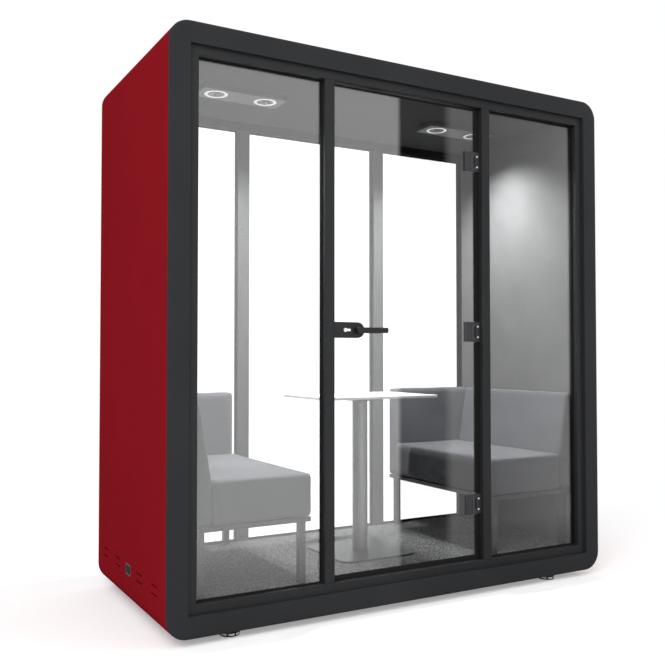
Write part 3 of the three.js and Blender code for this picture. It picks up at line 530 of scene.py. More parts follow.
@dataclass(frozen=True)
class Brushed(Finish):
    """A brushed metal."""

    base: Colour
    roughness: float
    scale: float = 500.0
    depth: float = 0.00008

    def paint(self, made: bpy.types.Material) -> None:
        """Builds the brush marks.

        Args:
            made: the new material.
        """
        tree, shader, _ = self.surface(made, Metallic=1.0)
        group = Groups.get("brush_marks", build_brush_group)
        values = {"Base": self.base, "Scale": self.scale, "Roughness": self.roughness}
        self.dress(tree, shader, group, values, self.depth)


@dataclass(frozen=True)
class Glass(Finish):
    """Clear glass that lets lamps through."""

    tint: Colour
    index: float
    through: Colour = (0.6, 0.6, 0.6)

    def paint(self, made: bpy.types.Material) -> None:
        """Builds the glass, with a clear stand-in for rays from lamps.

        Args:
            made: the new material.
        """
        tree, shader, out = self.surface(
            made,
            Base_Color=(*self.tint, 1.0),
            Roughness=0.0,
            IOR=self.index,
            Transmission_Weight=1.0,
        )
        clear = tree.add("ShaderNodeBsdfTransparent", Color=(*self.through, 1.0))
        path = tree.add("ShaderNodeLightPath")
        lets_by = tree.math("MAXIMUM", path.outputs["Is Shadow Ray"], path.outputs["Is Diffuse Ray"])
        tree.link(tree.blend(lets_by, shader, clear).outputs[0], out.inputs["Surface"])


@dataclass(frozen=True)
class Glow(Finish):
    """An opal diffuser lit from behind."""

    base: Colour
    strength: float
    roughness: float = 0.35
    grain: float = 60.0
    grain_band: tuple[float, float] = (0.3, 0.7)
    grain_share: float = 0.06
    grain_shade: Colour = (0.8, 0.82, 0.85)

    def paint(self, made: bpy.types.Material) -> None:
        """Builds the diffuser, with a faint grain.

        Args:
            made: the new material.
        """
        tree, shader, _ = self.surface(made, Emission_Strength=self.strength, Roughness=self.roughness)
        place = tree.add("ShaderNodeTexCoord").outputs["Object"]
        spots = tree.ramp(tree.noise(place, self.grain), *self.grain_band)
        soft = tree.math("MULTIPLY", spots, self.grain_share)
        glow = tree.mix(soft, self.base, self.grain_shade)
        tree.link(glow, shader.inputs["Base Color"])
        tree.link(glow, shader.inputs["Emission Color"])


FINISHES: dict[str, Finish] = {
    "charcoal_frame": Coat("charcoal_frame", (0.025, 0.0258, 0.0272), 0.62, specular=0.12),
    "red_panel": Coat("red_panel", (0.235, 0.0085, 0.014), 0.6, specular=0.0, shade=0.05),
    "wall_felt": Fibre("wall_felt", (0.13, 0.13, 0.132), (0.23, 0.23, 0.233), 420.0, 0.5, 0.0006),
    "ceiling_felt": Fibre("ceiling_felt", (0.042, 0.042, 0.044), (0.08, 0.08, 0.083), 420.0, 0.4, 0.0006),
    "carpet": Fibre("carpet", (0.036, 0.0365, 0.038), (0.45, 0.45, 0.455), 115.0, 0.95, 0.0022, cloud=0.1),
    "clear_glass": Glass("clear_glass", (0.985, 0.995, 0.992), 1.9),
    "bench_fabric": Fibre("bench_fabric", (0.106, 0.108, 0.119), (0.2, 0.203, 0.218), 620.0, 0.55, 0.0005),
    "black_metal": Coat("black_metal", (0.012, 0.012, 0.013), 0.42, specular=0.4),
    "unit_plastic": Coat("unit_plastic", (0.2, 0.2, 0.203), 0.5, specular=0.35),
    "light_diffuser": Glow("light_diffuser", (1.0, 0.99, 0.96), 0.5),
    "white_laminate": Coat("white_laminate", (0.93, 0.93, 0.92), 0.35, shade=0.03, peel=0.00006),
    "column_steel": Brushed("column_steel", (0.2, 0.2, 0.205), 0.5),
    "plate_metal": Coat("plate_metal", (0.045, 0.046, 0.05), 0.4),
    "hinge_metal": Coat("hinge_metal", (0.036, 0.037, 0.04), 0.38),
    "bright_steel": Brushed("bright_steel", (0.72, 0.72, 0.72), 0.25),
    "seal_rubber": Coat("seal_rubber", (0.008, 0.008, 0.008), 0.75, specular=0.3),
    "inlet_plastic": Coat("inlet_plastic", (0.045, 0.045, 0.047), 0.45, specular=0.2),
    "fan_plastic": Coat("fan_plastic", (0.012, 0.012, 0.013), 0.5),
    "foot_plastic": Coat("foot_plastic", (0.010, 0.010, 0.011), 0.6),
}
REAR_GLASS = Glass("rear_glass", (0.99, 0.997, 0.995), 1.45)
# Painted light: the rear uprights get a much lighter copy of the charcoal frame paint, standing in for the
# light that falls on them.
LIT_REAR_UPRIGHT = Coat("rear_upright_painted_light", (0.095, 0.096, 0.1), 0.5, specular=0.3)
FRAME_REVEAL = Coat("frame_reveal", (0.021, 0.0217, 0.023), 0.45, specular=0.2)
# Painted reflection: a near-white plain coat, not a metal, stands in for the bright reflections of the
# plated lock, key plug, screws and foot bands.
PAINTED_SHINE_PLATING = Coat("plating_painted_reflection", (0.82, 0.82, 0.82), 0.25, shade=0.02, peel=0.00003)
OWN_FINISHES: dict[str, Finish] = {
    "front_left_mullion": FRAME_REVEAL,
    "front_right_mullion": FRAME_REVEAL,
    "front_frame": FRAME_REVEAL,
    "lock_cylinder": PAINTED_SHINE_PLATING,
    "key_plug": PAINTED_SHINE_PLATING,
    "rear_left_glass": REAR_GLASS,
    "rear_centre_glass": REAR_GLASS,
    "rear_right_glass": REAR_GLASS,
    "rear_left_mullion": LIT_REAR_UPRIGHT,
    "rear_right_mullion": LIT_REAR_UPRIGHT,
}


# Modelling by hand


class Workbench:
    """Shared modelling moves on Blender's active object."""

    sharp_degrees = 40.0
    smooth_degrees = 35.0

    @staticmethod
    def deselect() -> None:
        """Leaves nothing selected."""
        if bpy.context.object is not None and bpy.context.object.mode != "OBJECT":
            bpy.ops.object.mode_set(mode="OBJECT")
        bpy.ops.object.select_all(action="DESELECT")

    @staticmethod
    def name(label: str) -> bpy.types.Object:
        """Names the active object and its mesh, and puts its place into its mesh.

        Args:
            label: the name.

        Returns:
            The object.
        """
        made = bpy.context.object
        made.name = label
        made.data.name = label
        bpy.ops.object.transform_apply(location=True, rotation=True, scale=True)
        return made

    @classmethod
    def block(cls, label: str, low: Sequence[float], high: Sequence[float]) -> bpy.types.Object:
        """Adds a cube stretched between two corners.

        Args:
            label: the object's name.
            low: its lowest corner.
            high: its highest corner.

        Returns:
            The new object, active and selected.
        """
        cls.deselect()
        middle = [(a + b) / 2 for a, b in zip(low, high)]
        bpy.ops.mesh.primitive_cube_add(size=1.0, location=middle)
        bpy.context.object.scale = [b - a for a, b in zip(low, high)]
        return cls.name(label)

    @classmethod
    def sheet(
        cls, label: str, centre: Sequence[float], size: tuple[float, float], turn: Point = (0.0, 0.0, 0.0)
    ) -> bpy.types.Object:
        """Adds a flat rectangle.

        Args:
            label: the object's name.
            centre: its middle.
            size: its two sides.
            turn: how it is turned, in radians.

        Returns:
            The new object, active and selected.
        """
        cls.deselect()
        bpy.ops.mesh.primitive_plane_add(size=1.0, location=centre, rotation=turn)
        bpy.context.object.scale = (*size, 1.0)
        return cls.name(label)

    @staticmethod
    def pick(
        made: bpy.types.Object,
        faces: Callable[[bpy.types.MeshPolygon], bool] | None = None,
        edges: EdgeTest | None = None,
    ) -> None:
        """Selects faces or edges by a test, and enters edit mode on them.

        Args:
            made: the object.
            faces: a test on each face.
            edges: a test on the two ends of each edge.
        """
        mesh = made.data
        bpy.ops.object.mode_set(mode="EDIT")
        bpy.ops.mesh.select_mode(type="FACE" if faces else "EDGE")
        bpy.ops.mesh.select_all(action="DESELECT")
        bpy.ops.object.mode_set(mode="OBJECT")
        if faces is not None:
            for face in mesh.polygons:
                face.select = faces(face)
        if edges is not None:
            for edge in mesh.edges:
                first, second = (mesh.vertices[i].co for i in edge.vertices)
                edge.select = edges(first, second)
        bpy.ops.object.mode_set(mode="EDIT")

    @staticmethod
    def done() -> None:
        """Leaves edit mode."""
        bpy.ops.object.mode_set(mode="OBJECT")

    @classmethod
    def bevel_edges(cls, made: bpy.types.Object, width: float, segments: int, edges: EdgeTest) -> None:
        """Bevels the edges that pass a test.

        Args:
            made: the object.
            width: the bevel's width.
            segments: its steps.
            edges: a test on the two ends of each edge.
        """
        cls.pick(made, edges=edges)
        bpy.ops.mesh.bevel(offset=width, segments=segments, affect="EDGES")
        cls.done()

    @classmethod
    def soften(cls, made: bpy.types.Object, width: float, segments: int) -> None:
        """Rounds every sharp edge with a bevel modifier, and applies it.

        Args:
            made: the object.
            width: the bevel's width.
            segments: its steps.
        """
        bevel = made.modifiers.new("soften", "BEVEL")
        bevel.width = width
        bevel.segments = segments
        bevel.limit_method = "ANGLE"
        bevel.angle_limit = math.radians(cls.sharp_degrees)
        bpy.context.view_layer.objects.active = made
        bpy.ops.object.modifier_apply(modifier=bevel.name)

    @classmethod
    def smooth(cls, made: bpy.types.Object, degrees: float = smooth_degrees) -> None:
        """Shades an object smooth.

        Args:
            made: the object.
            degrees: the sharpest angle that is still shaded smooth.
        """
        cls.deselect()
        made.select_set(True)
        bpy.context.view_layer.objects.active = made
        bpy.ops.object.shade_smooth_by_angle(angle=math.radians(degrees))

    @classmethod
    def merge(cls, label: str, parts: Sequence[bpy.types.Object]) -> bpy.types.Object:
        """Joins several objects into one.

        Args:
            label: the new object's name.
            parts: the objects.

        Returns:
            The joined object.
        """
        cls.deselect()
        for part in parts:
            part.select_set(True)
        bpy.context.view_layer.objects.active = parts[0]
        bpy.ops.object.join()
        return cls.name(label)


def finish_piece(made: bpy.types.Object, body: str, slot: str, finish: Finish | None = None) -> None:
    """Gives a new piece the material of its slot's finish or of its own finish, and the body that it rides
    on.

    Args:
        made: the piece.
        body: the body's name.
        slot: the record's material slot.
        finish: its finish, where it isn't the slot's own.
    """
    made.data.materials.clear()
    made.data.materials.append((finish or FINISHES[slot]).material())
    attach(made, body)
    LOG.info("%s rides on %s", made.name, body)


# Sub-assemblies


@dataclass
class Upholstery:
    """The padded pieces of one bench."""

    side: Side
    edge: float = 0.009
    edge_steps: int = 4
    lean_share: float = 0.67
    arm_round: float = 0.044
    arm_steps: int = 10
    voxel: float = 0.009
    puff: float = 0.0022
    inset: float = 0.001
    pressure: float = 3.0
    frames: int = 10
    cloth_quality: int = 4
    relaxing: int = 2
    smooth_degrees: float = 80.0

    def build(self) -> None:
        """Builds the seat, the back and the arm."""
        for part, shape in (("seat", self.shape_seat), ("back", self.shape_back), ("arm", self.shape_arm)):
            node = f"{self.side.word}_bench_{part}"
            low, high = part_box(node)
            room = Vector((self.inset,) * 3)
            made = Workbench.block(f"{node}_cushion", low + room, high - room)
            shape(made)
            self.swell(made)
            Workbench.smooth(made, self.smooth_degrees)
            finish_piece(made, "pod", "bench_fabric")
            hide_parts(node)

    def round_but(self, made: bpy.types.Object, seam: float) -> None:
        """Rounds a block's edges, except those that lie in an upright seam.

        Args:
            made: the block.
            seam: where the seam is along X.
        """
        reach = 2 * self.inset
        Workbench.bevel_edges(
            made,
            self.edge,
            self.edge_steps,
            lambda first, second: abs(first.x - seam) > reach or abs(second.x - seam) > reach,
        )

    def shape_seat(self, made: bpy.types.Object) -> None:
        """Rounds the seat block's edges, except where it meets the back.

        Args:
            made: the block.
        """
        low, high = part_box(f"{self.side.word}_bench_seat")
        self.round_but(made, low.x if self.side is Side.LEFT else high.x)

    def shape_back(self, made: bpy.types.Object) -> None:
        """Leans the back's front face from the seat's top up, then rounds its edges off the seam.

        Args:
            made: the block.
        """
        low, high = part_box(f"{self.side.word}_bench_back")
        _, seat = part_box(f"{self.side.word}_bench_seat")
        Workbench.pick(made, faces=lambda face: True)
        bpy.ops.mesh.bisect(plane_co=(0.0, 0.0, seat.z), plane_no=(0.0, 0.0, 1.0))
        Workbench.done()
        inward = -self.side.value
        front = low.x if inward < 0 else high.x
        lean = (high.x - low.x) * self.lean_share
        for vertex in made.data.vertices:
            if abs(vertex.co.x - front) < 2 * self.inset and vertex.co.z > seat.z + self.inset:
                vertex.co.x -= inward * lean
        self.round_but(made, front)

    def shape_arm(self, made: bpy.types.Object) -> None:
        """Gives the arm its wide round front edge, then rounds the others.

        Args:
            made: the block.
        """
        low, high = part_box(f"{self.side.word}_bench_arm")
        inner = high.x if self.side is Side.LEFT else low.x
        reach = 2 * self.inset
        Workbench.bevel_edges(
            made,
            self.arm_round,
            self.arm_steps,
            lambda first, second: all(
                abs(end.x - inner) < reach and abs(end.y - low.y) < reach for end in (first, second)
            ),
        )
        Workbench.soften(made, self.edge, self.edge_steps)

    def swell(self, made: bpy.types.Object) -> None:
        """Lets the cover swell under pressure like foam, by no more than the set puff.

        Args:
            made: the block.
        """
        remesh = made.modifiers.new("even", "REMESH")
        remesh.mode = "VOXEL"
        remesh.voxel_size = self.voxel
        bpy.context.view_layer.objects.active = made
        bpy.ops.object.modifier_apply(modifier=remesh.name)
        start = [vertex.co.copy() for vertex in made.data.vertices]
        self.press(made)
        for vertex, origin in zip(made.data.vertices, start):
            move = vertex.co - origin
            if move.length > self.puff:
                vertex.co = origin + move.normalized() * self.puff
        relax = made.modifiers.new("relax", "CORRECTIVE_SMOOTH")
        relax.iterations = self.relaxing
        relax.use_only_smooth = True
        bpy.ops.object.modifier_apply(modifier=relax.name)

    def press(self, made: bpy.types.Object) -> None:
        """Runs the cloth under pressure and applies the result.

        Args:
            made: the block.
        """
        scene = bpy.context.scene
        cloth = made.modifiers.new("pressed", "CLOTH")
        cloth.settings.use_pressure = True
        cloth.settings.uniform_pressure_force = self.pressure
        cloth.settings.effector_weights.gravity = 0.0
        cloth.settings.quality = self.cloth_quality
        cloth.point_cache.frame_start = 1
        cloth.point_cache.frame_end = self.frames
        for frame in range(1, self.frames + 1):
            scene.frame_set(frame)
        bpy.context.view_layer.objects.active = made
        bpy.ops.object.modifier_apply(modifier=cloth.name)
        scene.frame_set(1)


@dataclass
class Gasket:
    """The dark glazing strips round a fixed pane, one on each face."""

    pane: str
    bite: float = 0.0097
    width: float = 0.006
    proud: float = 0.003
    off: float = 0.0002
    edge: float = 0.0008
    edge_steps: int = 2

    def build(self) -> None:
        """Builds both strips as one piece."""
        low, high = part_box(self.pane)
        strips = [self.strip(low, high, low.y - self.off, -1), self.strip(low, high, high.y + self.off, 1)]
        made = Workbench.merge(f"{self.pane}_gasket", strips)
        finish_piece(made, "pod", "seal_rubber")

    def strip(self, low: Vector, high: Vector, y: float, out: int) -> bpy.types.Object:
        """Builds one strip.

        Args:
            low: the pane's lowest corner.
            high: its highest corner.
            y: the strip's face against the glass.
            out: -1 towards the front, 1 towards the rear.

        Returns:
            The strip.
        """
        corner = Vector((self.bite, 0.0, self.bite))
        first = low + corner
        last = high - corner
        ends = sorted((y, y + out * self.proud))
        made = Workbench.block("strip", (first.x, ends[0], first.z), (last.x, ends[1], last.z))
        Workbench.pick(made, faces=lambda face: abs(face.normal.y) > FACES_ALONG)
        bpy.ops.mesh.inset(thickness=self.width, use_individual=True)
        bpy.ops.mesh.bridge_edge_loops()
        Workbench.done()
        Workbench.soften(made, self.edge, self.edge_steps)
        return made


@dataclass
class HingeScrews:
    """Bright countersunk screws in one hinge plate."""

    level: str
    radius: float = 0.0042
    height: float = 0.0016
    socket: float = 0.0021
    spread: float = 0.024
    from_edge: float = 0.0135
    sides: int = 24
    sunk_share: float = 0.6
    edge: float = 0.0004
    edge_steps: int = 2

    def build(self) -> None:
        """Builds two screws as one piece."""
        low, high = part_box(f"{self.level}_hinge_plate")
        x = high.x - self.from_edge
        middle = (low.z + high.z) / 2
        screws = [self.screw(x, low.y, middle + step) for step in (-self.spread, self.spread)]
        made = Workbench.merge(f"{self.level}_hinge_screws", screws)
        Workbench.smooth(made)
        finish_piece(made, "pod", "bright_steel", PAINTED_SHINE_PLATING)

    def screw(self, x: float, face: float, z: float) -> bpy.types.Object:
        """Builds one screw head with its driver recess, against a face that looks towards -Y.

        Args:
            x: its place along X.
            face: the face's place along Y.
            z: its height.

        Returns:
            The screw head.
        """
        Workbench.deselect()
        bpy.ops.mesh.primitive_cylinder_add(
            vertices=self.sides,
            radius=self.radius,
            depth=self.height,
            location=(x, face - self.height / 2, z),
            rotation=(math.pi / 2, 0.0, 0.0),
        )
        made = Workbench.name("screw")
        Workbench.pick(made, faces=lambda part: part.normal.y < -FACES_ALONG)
        bpy.ops.mesh.inset(thickness=self.radius - self.socket)
        bpy.ops.transform.translate(value=(0.0, self.height * self.sunk_share, 0.0))
        Workbench.done()
        Workbench.soften(made, self.edge, self.edge_steps)
        return made


@dataclass
class FootBand:
    """The bright band round one levelling foot, in short lengths with dark gaps between them."""

    corner: str
    low: float = 0.0060
    high: float = 0.0128
    proud: float = 0.0008
    sunk: float = 0.002
    lengths: int = 8
    gap_degrees: float = 11.0
    steps: int = 8
    edge: float = 0.0005
    edge_steps: int = 2

    def build(self) -> None:
        """Builds every length of the band as one piece."""
        node = f"{self.corner}_foot"
        least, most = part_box(node)
        centre = (least + most) / 2
        radius = (most.x - least.x) / 2
        turn = math.tau / self.lengths
        parts = [self.length(centre, radius, turn * index, turn) for index in range(self.lengths)]
        made = Workbench.merge(f"{node}_band", parts)
        Workbench.smooth(made)
        finish_piece(made, node, "bright_steel", PAINTED_SHINE_PLATING)

    def length(self, centre: Vector, radius: float, start: float, turn: float) -> bpy.types.Object:
        """Spins one length of the band round the foot.

        Args:
            centre: the foot's middle.
            radius: the foot's radius.
            start: the angle that the length starts at.
            turn: the angle from one length to the next.

        Returns:
            The length.
        """
        first = start + math.radians(self.gap_degrees) / 2
        middle = radius + (self.proud - self.sunk) / 2
        place = (
            centre.x + middle * math.cos(first),
            centre.y + middle * math.sin(first),
            (self.low + self.high) / 2,
        )
        size = (self.proud + self.sunk, self.high - self.low)
        made = Workbench.sheet("band_length", place, size, (math.pi / 2, 0.0, first))
        Workbench.pick(made, faces=lambda face: True)
        bpy.ops.mesh.spin(
            steps=self.steps,
            angle=turn - math.radians(self.gap_degrees),
            center=(centre.x, centre.y, 0.0),
            axis=(0.0, 0.0, 1.0),
            dupli=False,
        )
        bpy.ops.mesh.select_all(action="SELECT")
        bpy.ops.mesh.normals_make_consistent(inside=False)
        Workbench.done()
        Workbench.soften(made, self.edge, self.edge_steps)
        return made


@dataclass
class HingeSeal:
    """The black seal on the mullion along the door's hinge edge, broken at the hinge plates."""

    leaf_gap: float = 0.0042
    mullion_gap: float = 0.0003
    end_gap: float = 0.001
    front: float = 0.0006
    edge: float = 0.0015
    edge_steps: int = 3

    def build(self) -> None:
        """Builds the lengths between the hinges as one piece."""
        low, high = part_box("door_glass")
        mullion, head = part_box("front_right_mullion")
        left = high.x + self.leaf_gap
        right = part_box("lower_hinge_plate")[1].x - self.mullion_gap
        levels = [mullion.z]
        for level in HINGE_LEVELS:
            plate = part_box(f"{level}_hinge_plate")
            levels += [plate[0].z, plate[1].z]
        levels.append(head.z)
        parts = []
        for start, end in zip(levels[::2], levels[1::2]):
            corner = (left, low.y + self.front, start + self.end_gap)
            opposite = (right, high.y + self.front, end - self.end_gap)
            length = Workbench.block("seal_length", corner, opposite)
            Workbench.soften(length, self.edge, self.edge_steps)
            parts.append(length)
        made = Workbench.merge("door_hinge_seal", parts)
        Workbench.smooth(made)
        finish_piece(made, "pod", "seal_rubber")


@dataclass
class LeafTrim:
    """The black channels pressed over the door glass, along its head and along its hinge edge."""

    leg: float = 0.008
    wall: float = 0.0011
    slack: float = 0.0002
    end_gap: float = 0.003
    hinge_gap: float = 0.004

    def build(self) -> None:
        """Builds the head channel and the lengths between the hinges as one piece."""
        low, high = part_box("door_glass")
        middle = (low + high) / 2
        depth = high.y - low.y + 2 * self.slack
        head = (middle.x, middle.y, high.z + self.slack)
        parts = [self.channel(head, (high.x - low.x - 2 * self.end_gap, depth), LeafEdge.HEAD)]
        levels = [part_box("door_bottom_seal")[1].z]
        for level in HINGE_LEVELS:
            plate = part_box(f"{level}_hinge_plate")
            levels += [plate[0].z - self.hinge_gap, plate[1].z + self.hinge_gap]
        levels.append(high.z - self.leg)
        for start, end in zip(levels[::2], levels[1::2]):
            place = (high.x + self.slack, middle.y, (start + end) / 2)
            parts.append(self.channel(place, (end - start - 2 * self.slack, depth), LeafEdge.HINGE))
        made = Workbench.merge("door_edge_trim", parts)
        finish_piece(made, "door", "seal_rubber")

    def channel(self, place: Point, size: tuple[float, float], edge: LeafEdge) -> bpy.types.Object:
        """Folds a strip over the glass and gives it its wall.

        Args:
            place: the middle of the strip on the edge of the glass.
            size: the strip's length, and its width across the glass.
            edge: the edge of the leaf that it lies on.

        Returns:
            The channel.
        """
        upright = edge is LeafEdge.HINGE
        made = Workbench.sheet("channel", place, size, (0.0, math.pi / 2 if upright else 0.0, 0.0))
        Workbench.pick(made, edges=lambda first, second: abs(first.y - second.y) < self.slack)
        fold = (-self.leg, 0.0, 0.0) if upright else (0.0, 0.0, -self.leg)
        bpy.ops.mesh.extrude_edges_move(TRANSFORM_OT_translate={"value": fold})
        Workbench.done()
        wall = made.modifiers.new("wall", "SOLIDIFY")
        wall.thickness = self.wall
        wall.offset = 1.0
        bpy.ops.object.modifier_apply(modifier=wall.name)
        return made


@dataclass
class TableTop:
    """The white table top, with its edge slightly rounded."""

    corner: float = 0.006
    corner_steps: int = 6
    edge: float = 0.0016
    edge_steps: int = 3

    def build(self) -> None:
        """Builds the top in place of the plain one."""
        low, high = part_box("table_top")
        made = Workbench.block("table_top_board", low, high)
        half = (high.z - low.z) / 2
        Workbench.bevel_edges(
            made,
            self.corner,
            self.corner_steps,
            lambda first, second: abs(first.z - second.z) > half,
        )
        Workbench.soften(made, self.edge, self.edge_steps)
        Workbench.smooth(made)
        finish_piece(made, "pod", "white_laminate")
        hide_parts("table_top")


# Studio


@dataclass(frozen=True)
class Lamp:
    """A square area lamp outside the pod, which lights it and isn't seen."""

    name: str
    place: Point
    watts: float
    size: float = 4.0
    aim: Point = (0.0, 0.0, 1.1)

    def build(self) -> None:
        """Adds the lamp."""
        data = bpy.data.lights.new(self.name, "AREA")
        data.size = self.size
        data.energy = self.watts
        lamp = bpy.data.objects.new(self.name, data)
        lamp.location = self.place
        lamp.rotation_euler = (Vector(self.aim) - Vector(self.place)).to_track_quat("-Z", "Y").to_euler()
        lamp.visible_camera = False
        lamp.visible_glossy = False
        lamp.visible_transmission = False
        bpy.context.scene.collection.objects.link(lamp)


STUDIO_LAMPS = (Lamp("key", (-4.5, -5.0, 5.5), 330.0), Lamp("fill", (5.0, -5.0, 3.0), 120.0))


@dataclass
class Studio:
    """Camera, lamps, world and floor."""

    lens: float = 45.0
    sensor: float = 36.0
    farthest: float = 200.0
    place: Point = (-2.0749, -3.4287, 1.0746)
    turn_degrees: Point = (91.575, 0.0, -29.599)
    floor_size: float = 60.0
    floor_drop: float = 0.0005
    floor_grey: Colour = (0.86, 0.86, 0.86)
    floor_lift: float = 0.3
    floor_shadow_reach: tuple[float, float] = (-2.0, -0.9)
    floor_ahead: float = -0.5
    floor_shaded: float = 0.6
    floor_mirrored: float = 1.2
    floor_fade: tuple[float, float] = (1.7, 3.0)
    ambient: float = 0.62
    beyond: float = 1.36
    glass_y: float = -0.447
    crossings: float = 3.0
    card_y: float = -1.6
    card_ends: tuple[float, float] = (0.72, 3.2)
    card_height: float = 6.0
    card_shades: tuple[tuple[float, float], ...] = (
        (0.72, 1.0), (0.745, 0.0), (1.06, 0.0), (1.13, 0.42), (1.29, 0.42), (1.4, 0.3), (3.2, 0.15),
    )
    down_watts: float = 98.0
    down_cone: float = 138.0
    down_blend: float = 0.85
    down_size: float = 0.045
    down_gap: float = 0.003

    def build(self) -> None:
        """Sets the whole studio up."""
        bpy.context.scene.view_settings.view_transform = "Standard"
        self.camera()
        self.world()
        self.floor()
        self.card()
        self.lamps()

    def camera(self) -> None:
        """Places the camera at the photograph's view."""
        data = bpy.data.cameras.new("photo_view")
        data.lens = self.lens
        data.sensor_width = self.sensor
        data.clip_end = self.farthest
        camera = bpy.data.objects.new("photo_view", data)
        camera.location = self.place
        camera.rotation_euler = [math.radians(angle) for angle in self.turn_degrees]
        bpy.context.scene.collection.objects.link(camera)
        bpy.context.scene.camera = camera

    def world(self) -> None:
        """Adds a surround: white where it is seen, brighter through glass, and soft light for the rest."""
        world = bpy.data.worlds.new("studio")
        bpy.context.scene.world = world
        world.use_nodes = True
        tree = Tree(world.node_tree)
        path = tree.add("ShaderNodeLightPath")
        plain, white, bright = (
            tree.add("ShaderNodeBackground", Color=(*WHITE, 1.0), Strength=strength)
            for strength in (self.ambient, 1.0, self.beyond)
        )
        seen = tree.math("MAXIMUM", path.outputs["Is Camera Ray"], path.outputs["Is Glossy Ray"])
        whole = tree.blend(path.outputs["Is Transmission Ray"], tree.blend(seen, plain, white), bright)
        tree.link(whole.outputs[0], tree.add("ShaderNodeOutputWorld").inputs["Surface"])

    def floor(self) -> None:
        """Adds a plain pale floor that keeps the pod's shadow."""
        size = (self.floor_size, self.floor_size)
        floor = Workbench.sheet("studio_floor", (0.0, 0.0, -self.floor_drop), size)
        made = bpy.data.materials.new("studio_floor")
        made.use_nodes = True
        tree = Tree(made.node_tree)
        path = tree.add("ShaderNodeLightPath")
        place = tree.add("ShaderNodeTexCoord").outputs["Object"]
        split = tree.add("ShaderNodeSeparateXYZ")
        tree.link(place, split.inputs[0])
        ahead = tree.math("LESS_THAN", split.outputs["Y"], self.floor_ahead)
        mirrored = tree.math("MULTIPLY", self.off_one_pane(tree, path), ahead)
        whole = tree.blend(mirrored, self.floor_seen(tree, path, place), self.floor_in_glass(tree, split))
        tree.link(whole.outputs[0], tree.add("ShaderNodeOutputMaterial").inputs["Surface"])
        floor.data.materials.append(made)

    def floor_seen(self, tree: Tree, path: bpy.types.Node, place: bpy.types.NodeSocket) -> bpy.types.Node:
        """Shades the floor as the camera sees it: pale next to the pod, white farther off and through glass.

        Args:
            tree: the material's tree.
            path: its Light Path node.
            place: the place on the floor.

        Returns:
            The shader's node.
        """
        through = path.outputs["Is Transmission Ray"]
        seen = tree.math("MAXIMUM", path.outputs["Is Camera Ray"], through)
        pale = tree.add("ShaderNodeBsdfDiffuse", Color=(*self.floor_grey, 1.0))
        lift = tree.emission()
        tree.link(tree.math("MULTIPLY", seen, self.floor_lift), lift.inputs["Strength"])
        near = tree.add("ShaderNodeAddShader")
        tree.link(pale.outputs[0], near.inputs[0])
        tree.link(lift.outputs[0], near.inputs[1])
        white = tree.emission()
        brighter = tree.math("MULTIPLY", through, self.beyond - 1.0)
        tree.link(tree.math("ADD", brighter, 1.0), white.inputs["Strength"])
        away = tree.add("ShaderNodeVectorMath", operation="LENGTH")
        tree.link(place, away.inputs[0])
        far = tree.math("MAXIMUM", tree.ramp(away.outputs["Value"], *self.floor_fade), through)
        return tree.blend(tree.math("MULTIPLY", far, seen), near, white)

    def floor_in_glass(self, tree: Tree, split: bpy.types.Node) -> bpy.types.Node:
        """Shades the floor as the front glass mirrors it: the card's tones, with the pod's shadow painted in
        next to the pod.

        Args:
            tree: the material's tree.
            split: the node that gives the place on the floor by axis.

        Returns:
            The shader's node.
        """
        behind = 2 * self.glass_y - self.place[1]
        reach = tree.math("DIVIDE", behind - self.card_y, tree.math("SUBTRACT", behind, split.outputs["Y"]))
        across = tree.math("MULTIPLY", tree.math("SUBTRACT", split.outputs["X"], self.place[0]), reach)
        dim = tree.emission()
        tree.link(self.card_tone(tree, tree.math("ADD", across, self.place[0])), dim.inputs["Color"])
        # Painted shadow: the mirrored floor's glow is dimmed next to the pod, standing in for the pod's
        # shadow on it.
        shaded = tree.math("MULTIPLY", tree.ramp(split.outputs["Y"], *self.floor_shadow_reach), self.floor_shaded)
        lit = tree.math("SUBTRACT", 1.0, shaded)
        tree.link(tree.math("MULTIPLY", lit, self.floor_mirrored), dim.inputs["Strength"])
        return dim

    def off_one_pane(self, tree: Tree, path: bpy.types.Node) -> bpy.types.NodeSocket:
        """Tells what is mirrored by either face of a pane from what is seen through the pod.

        Args:
            tree: the material's tree.
            path: its Light Path node.

        Returns:
            1 for a mirrored ray, which has crossed at most both faces of one pane, and 0 for others.
        """
        few = tree.math("LESS_THAN", path.outputs["Transmission Depth"], self.crossings)
        return tree.math("MULTIPLY", path.outputs["Is Glossy Ray"], few)

    def card_tone(self, tree: Tree, across: bpy.types.NodeSocket) -> bpy.types.NodeSocket:
        """Gives the card's grey at a place across it.

        Args:
            tree: the material's tree.
            across: the place along X, in metres.

        Returns:
            The grey as a colour.
        """
        left, right = self.card_ends
        shades = tree.add("ShaderNodeValToRGB")
        shades.color_ramp.elements.remove(shades.color_ramp.elements[0])
        for x, grey in self.card_shades:
            stop = shades.color_ramp.elements.new((x - left) / (right - left))
            stop.color = (grey, grey, grey, 1.0)
        shades.color_ramp.elements.remove(shades.color_ramp.elements[-1])
        tree.link(tree.ramp(across, left, right), shades.inputs["Fac"])
        return shades.outputs["Color"]

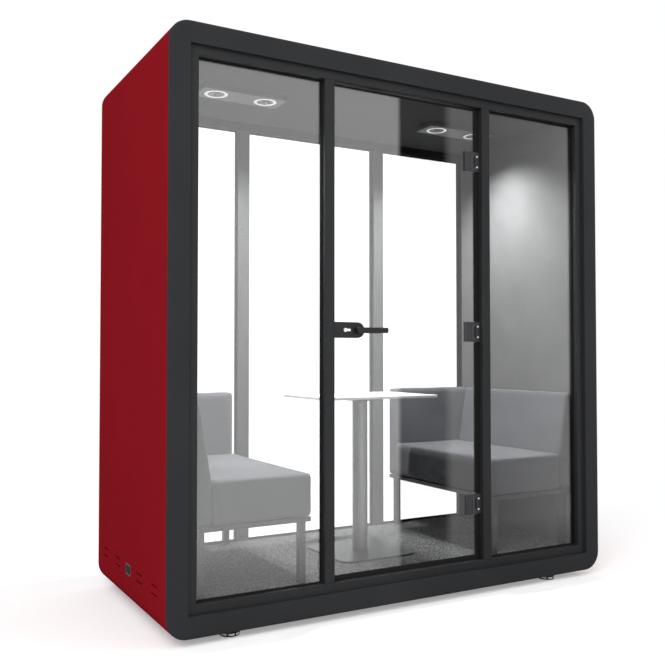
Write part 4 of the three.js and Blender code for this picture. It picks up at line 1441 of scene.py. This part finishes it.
    def card(self) -> None:
        """Adds a dark upright card off to the right, which the door and the right pane mirror."""
        left, right = self.card_ends
        middle = ((left + right) / 2, self.card_y, self.card_height / 2)
        size = (right - left, self.card_height)
        card = Workbench.sheet("studio_card", middle, size, (math.pi / 2, 0.0, 0.0))
        made = bpy.data.materials.new("studio_card")
        made.use_nodes = True
        tree = Tree(made.node_tree)
        split = tree.add("ShaderNodeSeparateXYZ")
        tree.link(tree.add("ShaderNodeTexCoord").outputs["Object"], split.inputs[0])
        glow = tree.emission()
        tree.link(self.card_tone(tree, split.outputs["X"]), glow.inputs["Color"])
        clear = tree.add("ShaderNodeBsdfTransparent")
        shown = self.off_one_pane(tree, tree.add("ShaderNodeLightPath"))
        whole = tree.blend(shown, clear, glow)
        tree.link(whole.outputs[0], tree.add("ShaderNodeOutputMaterial").inputs["Surface"])
        card.data.materials.append(made)
        card.visible_diffuse = False
        card.visible_shadow = False
        card.visible_camera = False

    def lamps(self) -> None:
        """Adds soft studio lamps outside and small ones under the ring lights."""
        for lamp in STUDIO_LAMPS:
            lamp.build()
        for name in RING_LIGHTS:
            low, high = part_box(f"{name}_ring_light")
            middle = (low + high) / 2
            self.downlight(f"{name}_glow", (middle.x, middle.y, low.z - self.down_gap))

    def downlight(self, name: str, place: Point) -> None:
        """Adds a soft downward cone of light under a ring light.

        Args:
            name: the lamp's name.
            place: where it hangs.
        """
        data = bpy.data.lights.new(name, "SPOT")
        data.energy = self.down_watts
        data.spot_size = math.radians(self.down_cone)
        data.spot_blend = self.down_blend
        data.shadow_soft_size = self.down_size
        lamp = bpy.data.objects.new(name, data)
        lamp.location = place
        bpy.context.scene.collection.objects.link(lamp)


def dress_frame(frame: dict) -> None:
    """Gives every carried-over piece its own finish where it has one, else the finish of its slot.
    """
    slots = {row["node"]: row["material_slot"] for row in frame["record"]["subparts"]}
    for node, made in frame["nodes"].items():
        finish = OWN_FINISHES.get(node, FINISHES[slots[node]])
        made.data.materials.clear()
        made.data.materials.append(finish.material())


def main() -> None:
    """Builds the looks piece by piece."""
    logging.basicConfig(level=logging.INFO, format="%(name)s: %(message)s")
    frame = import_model()
    dress_frame(frame)
    for side in Side:
        Upholstery(side).build()
    for pane in sorted(node for node in frame["nodes"] if node.endswith("_glass") and node != "door_glass"):
        Gasket(pane).build()
    for level in HINGE_LEVELS:
        HingeScrews(level).build()
    for corner in CORNERS:
        FootBand(corner).build()
    HingeSeal().build()
    LeafTrim().build()
    TableTop().build()
    Studio().build()


if __name__ == "__main__":
    main()
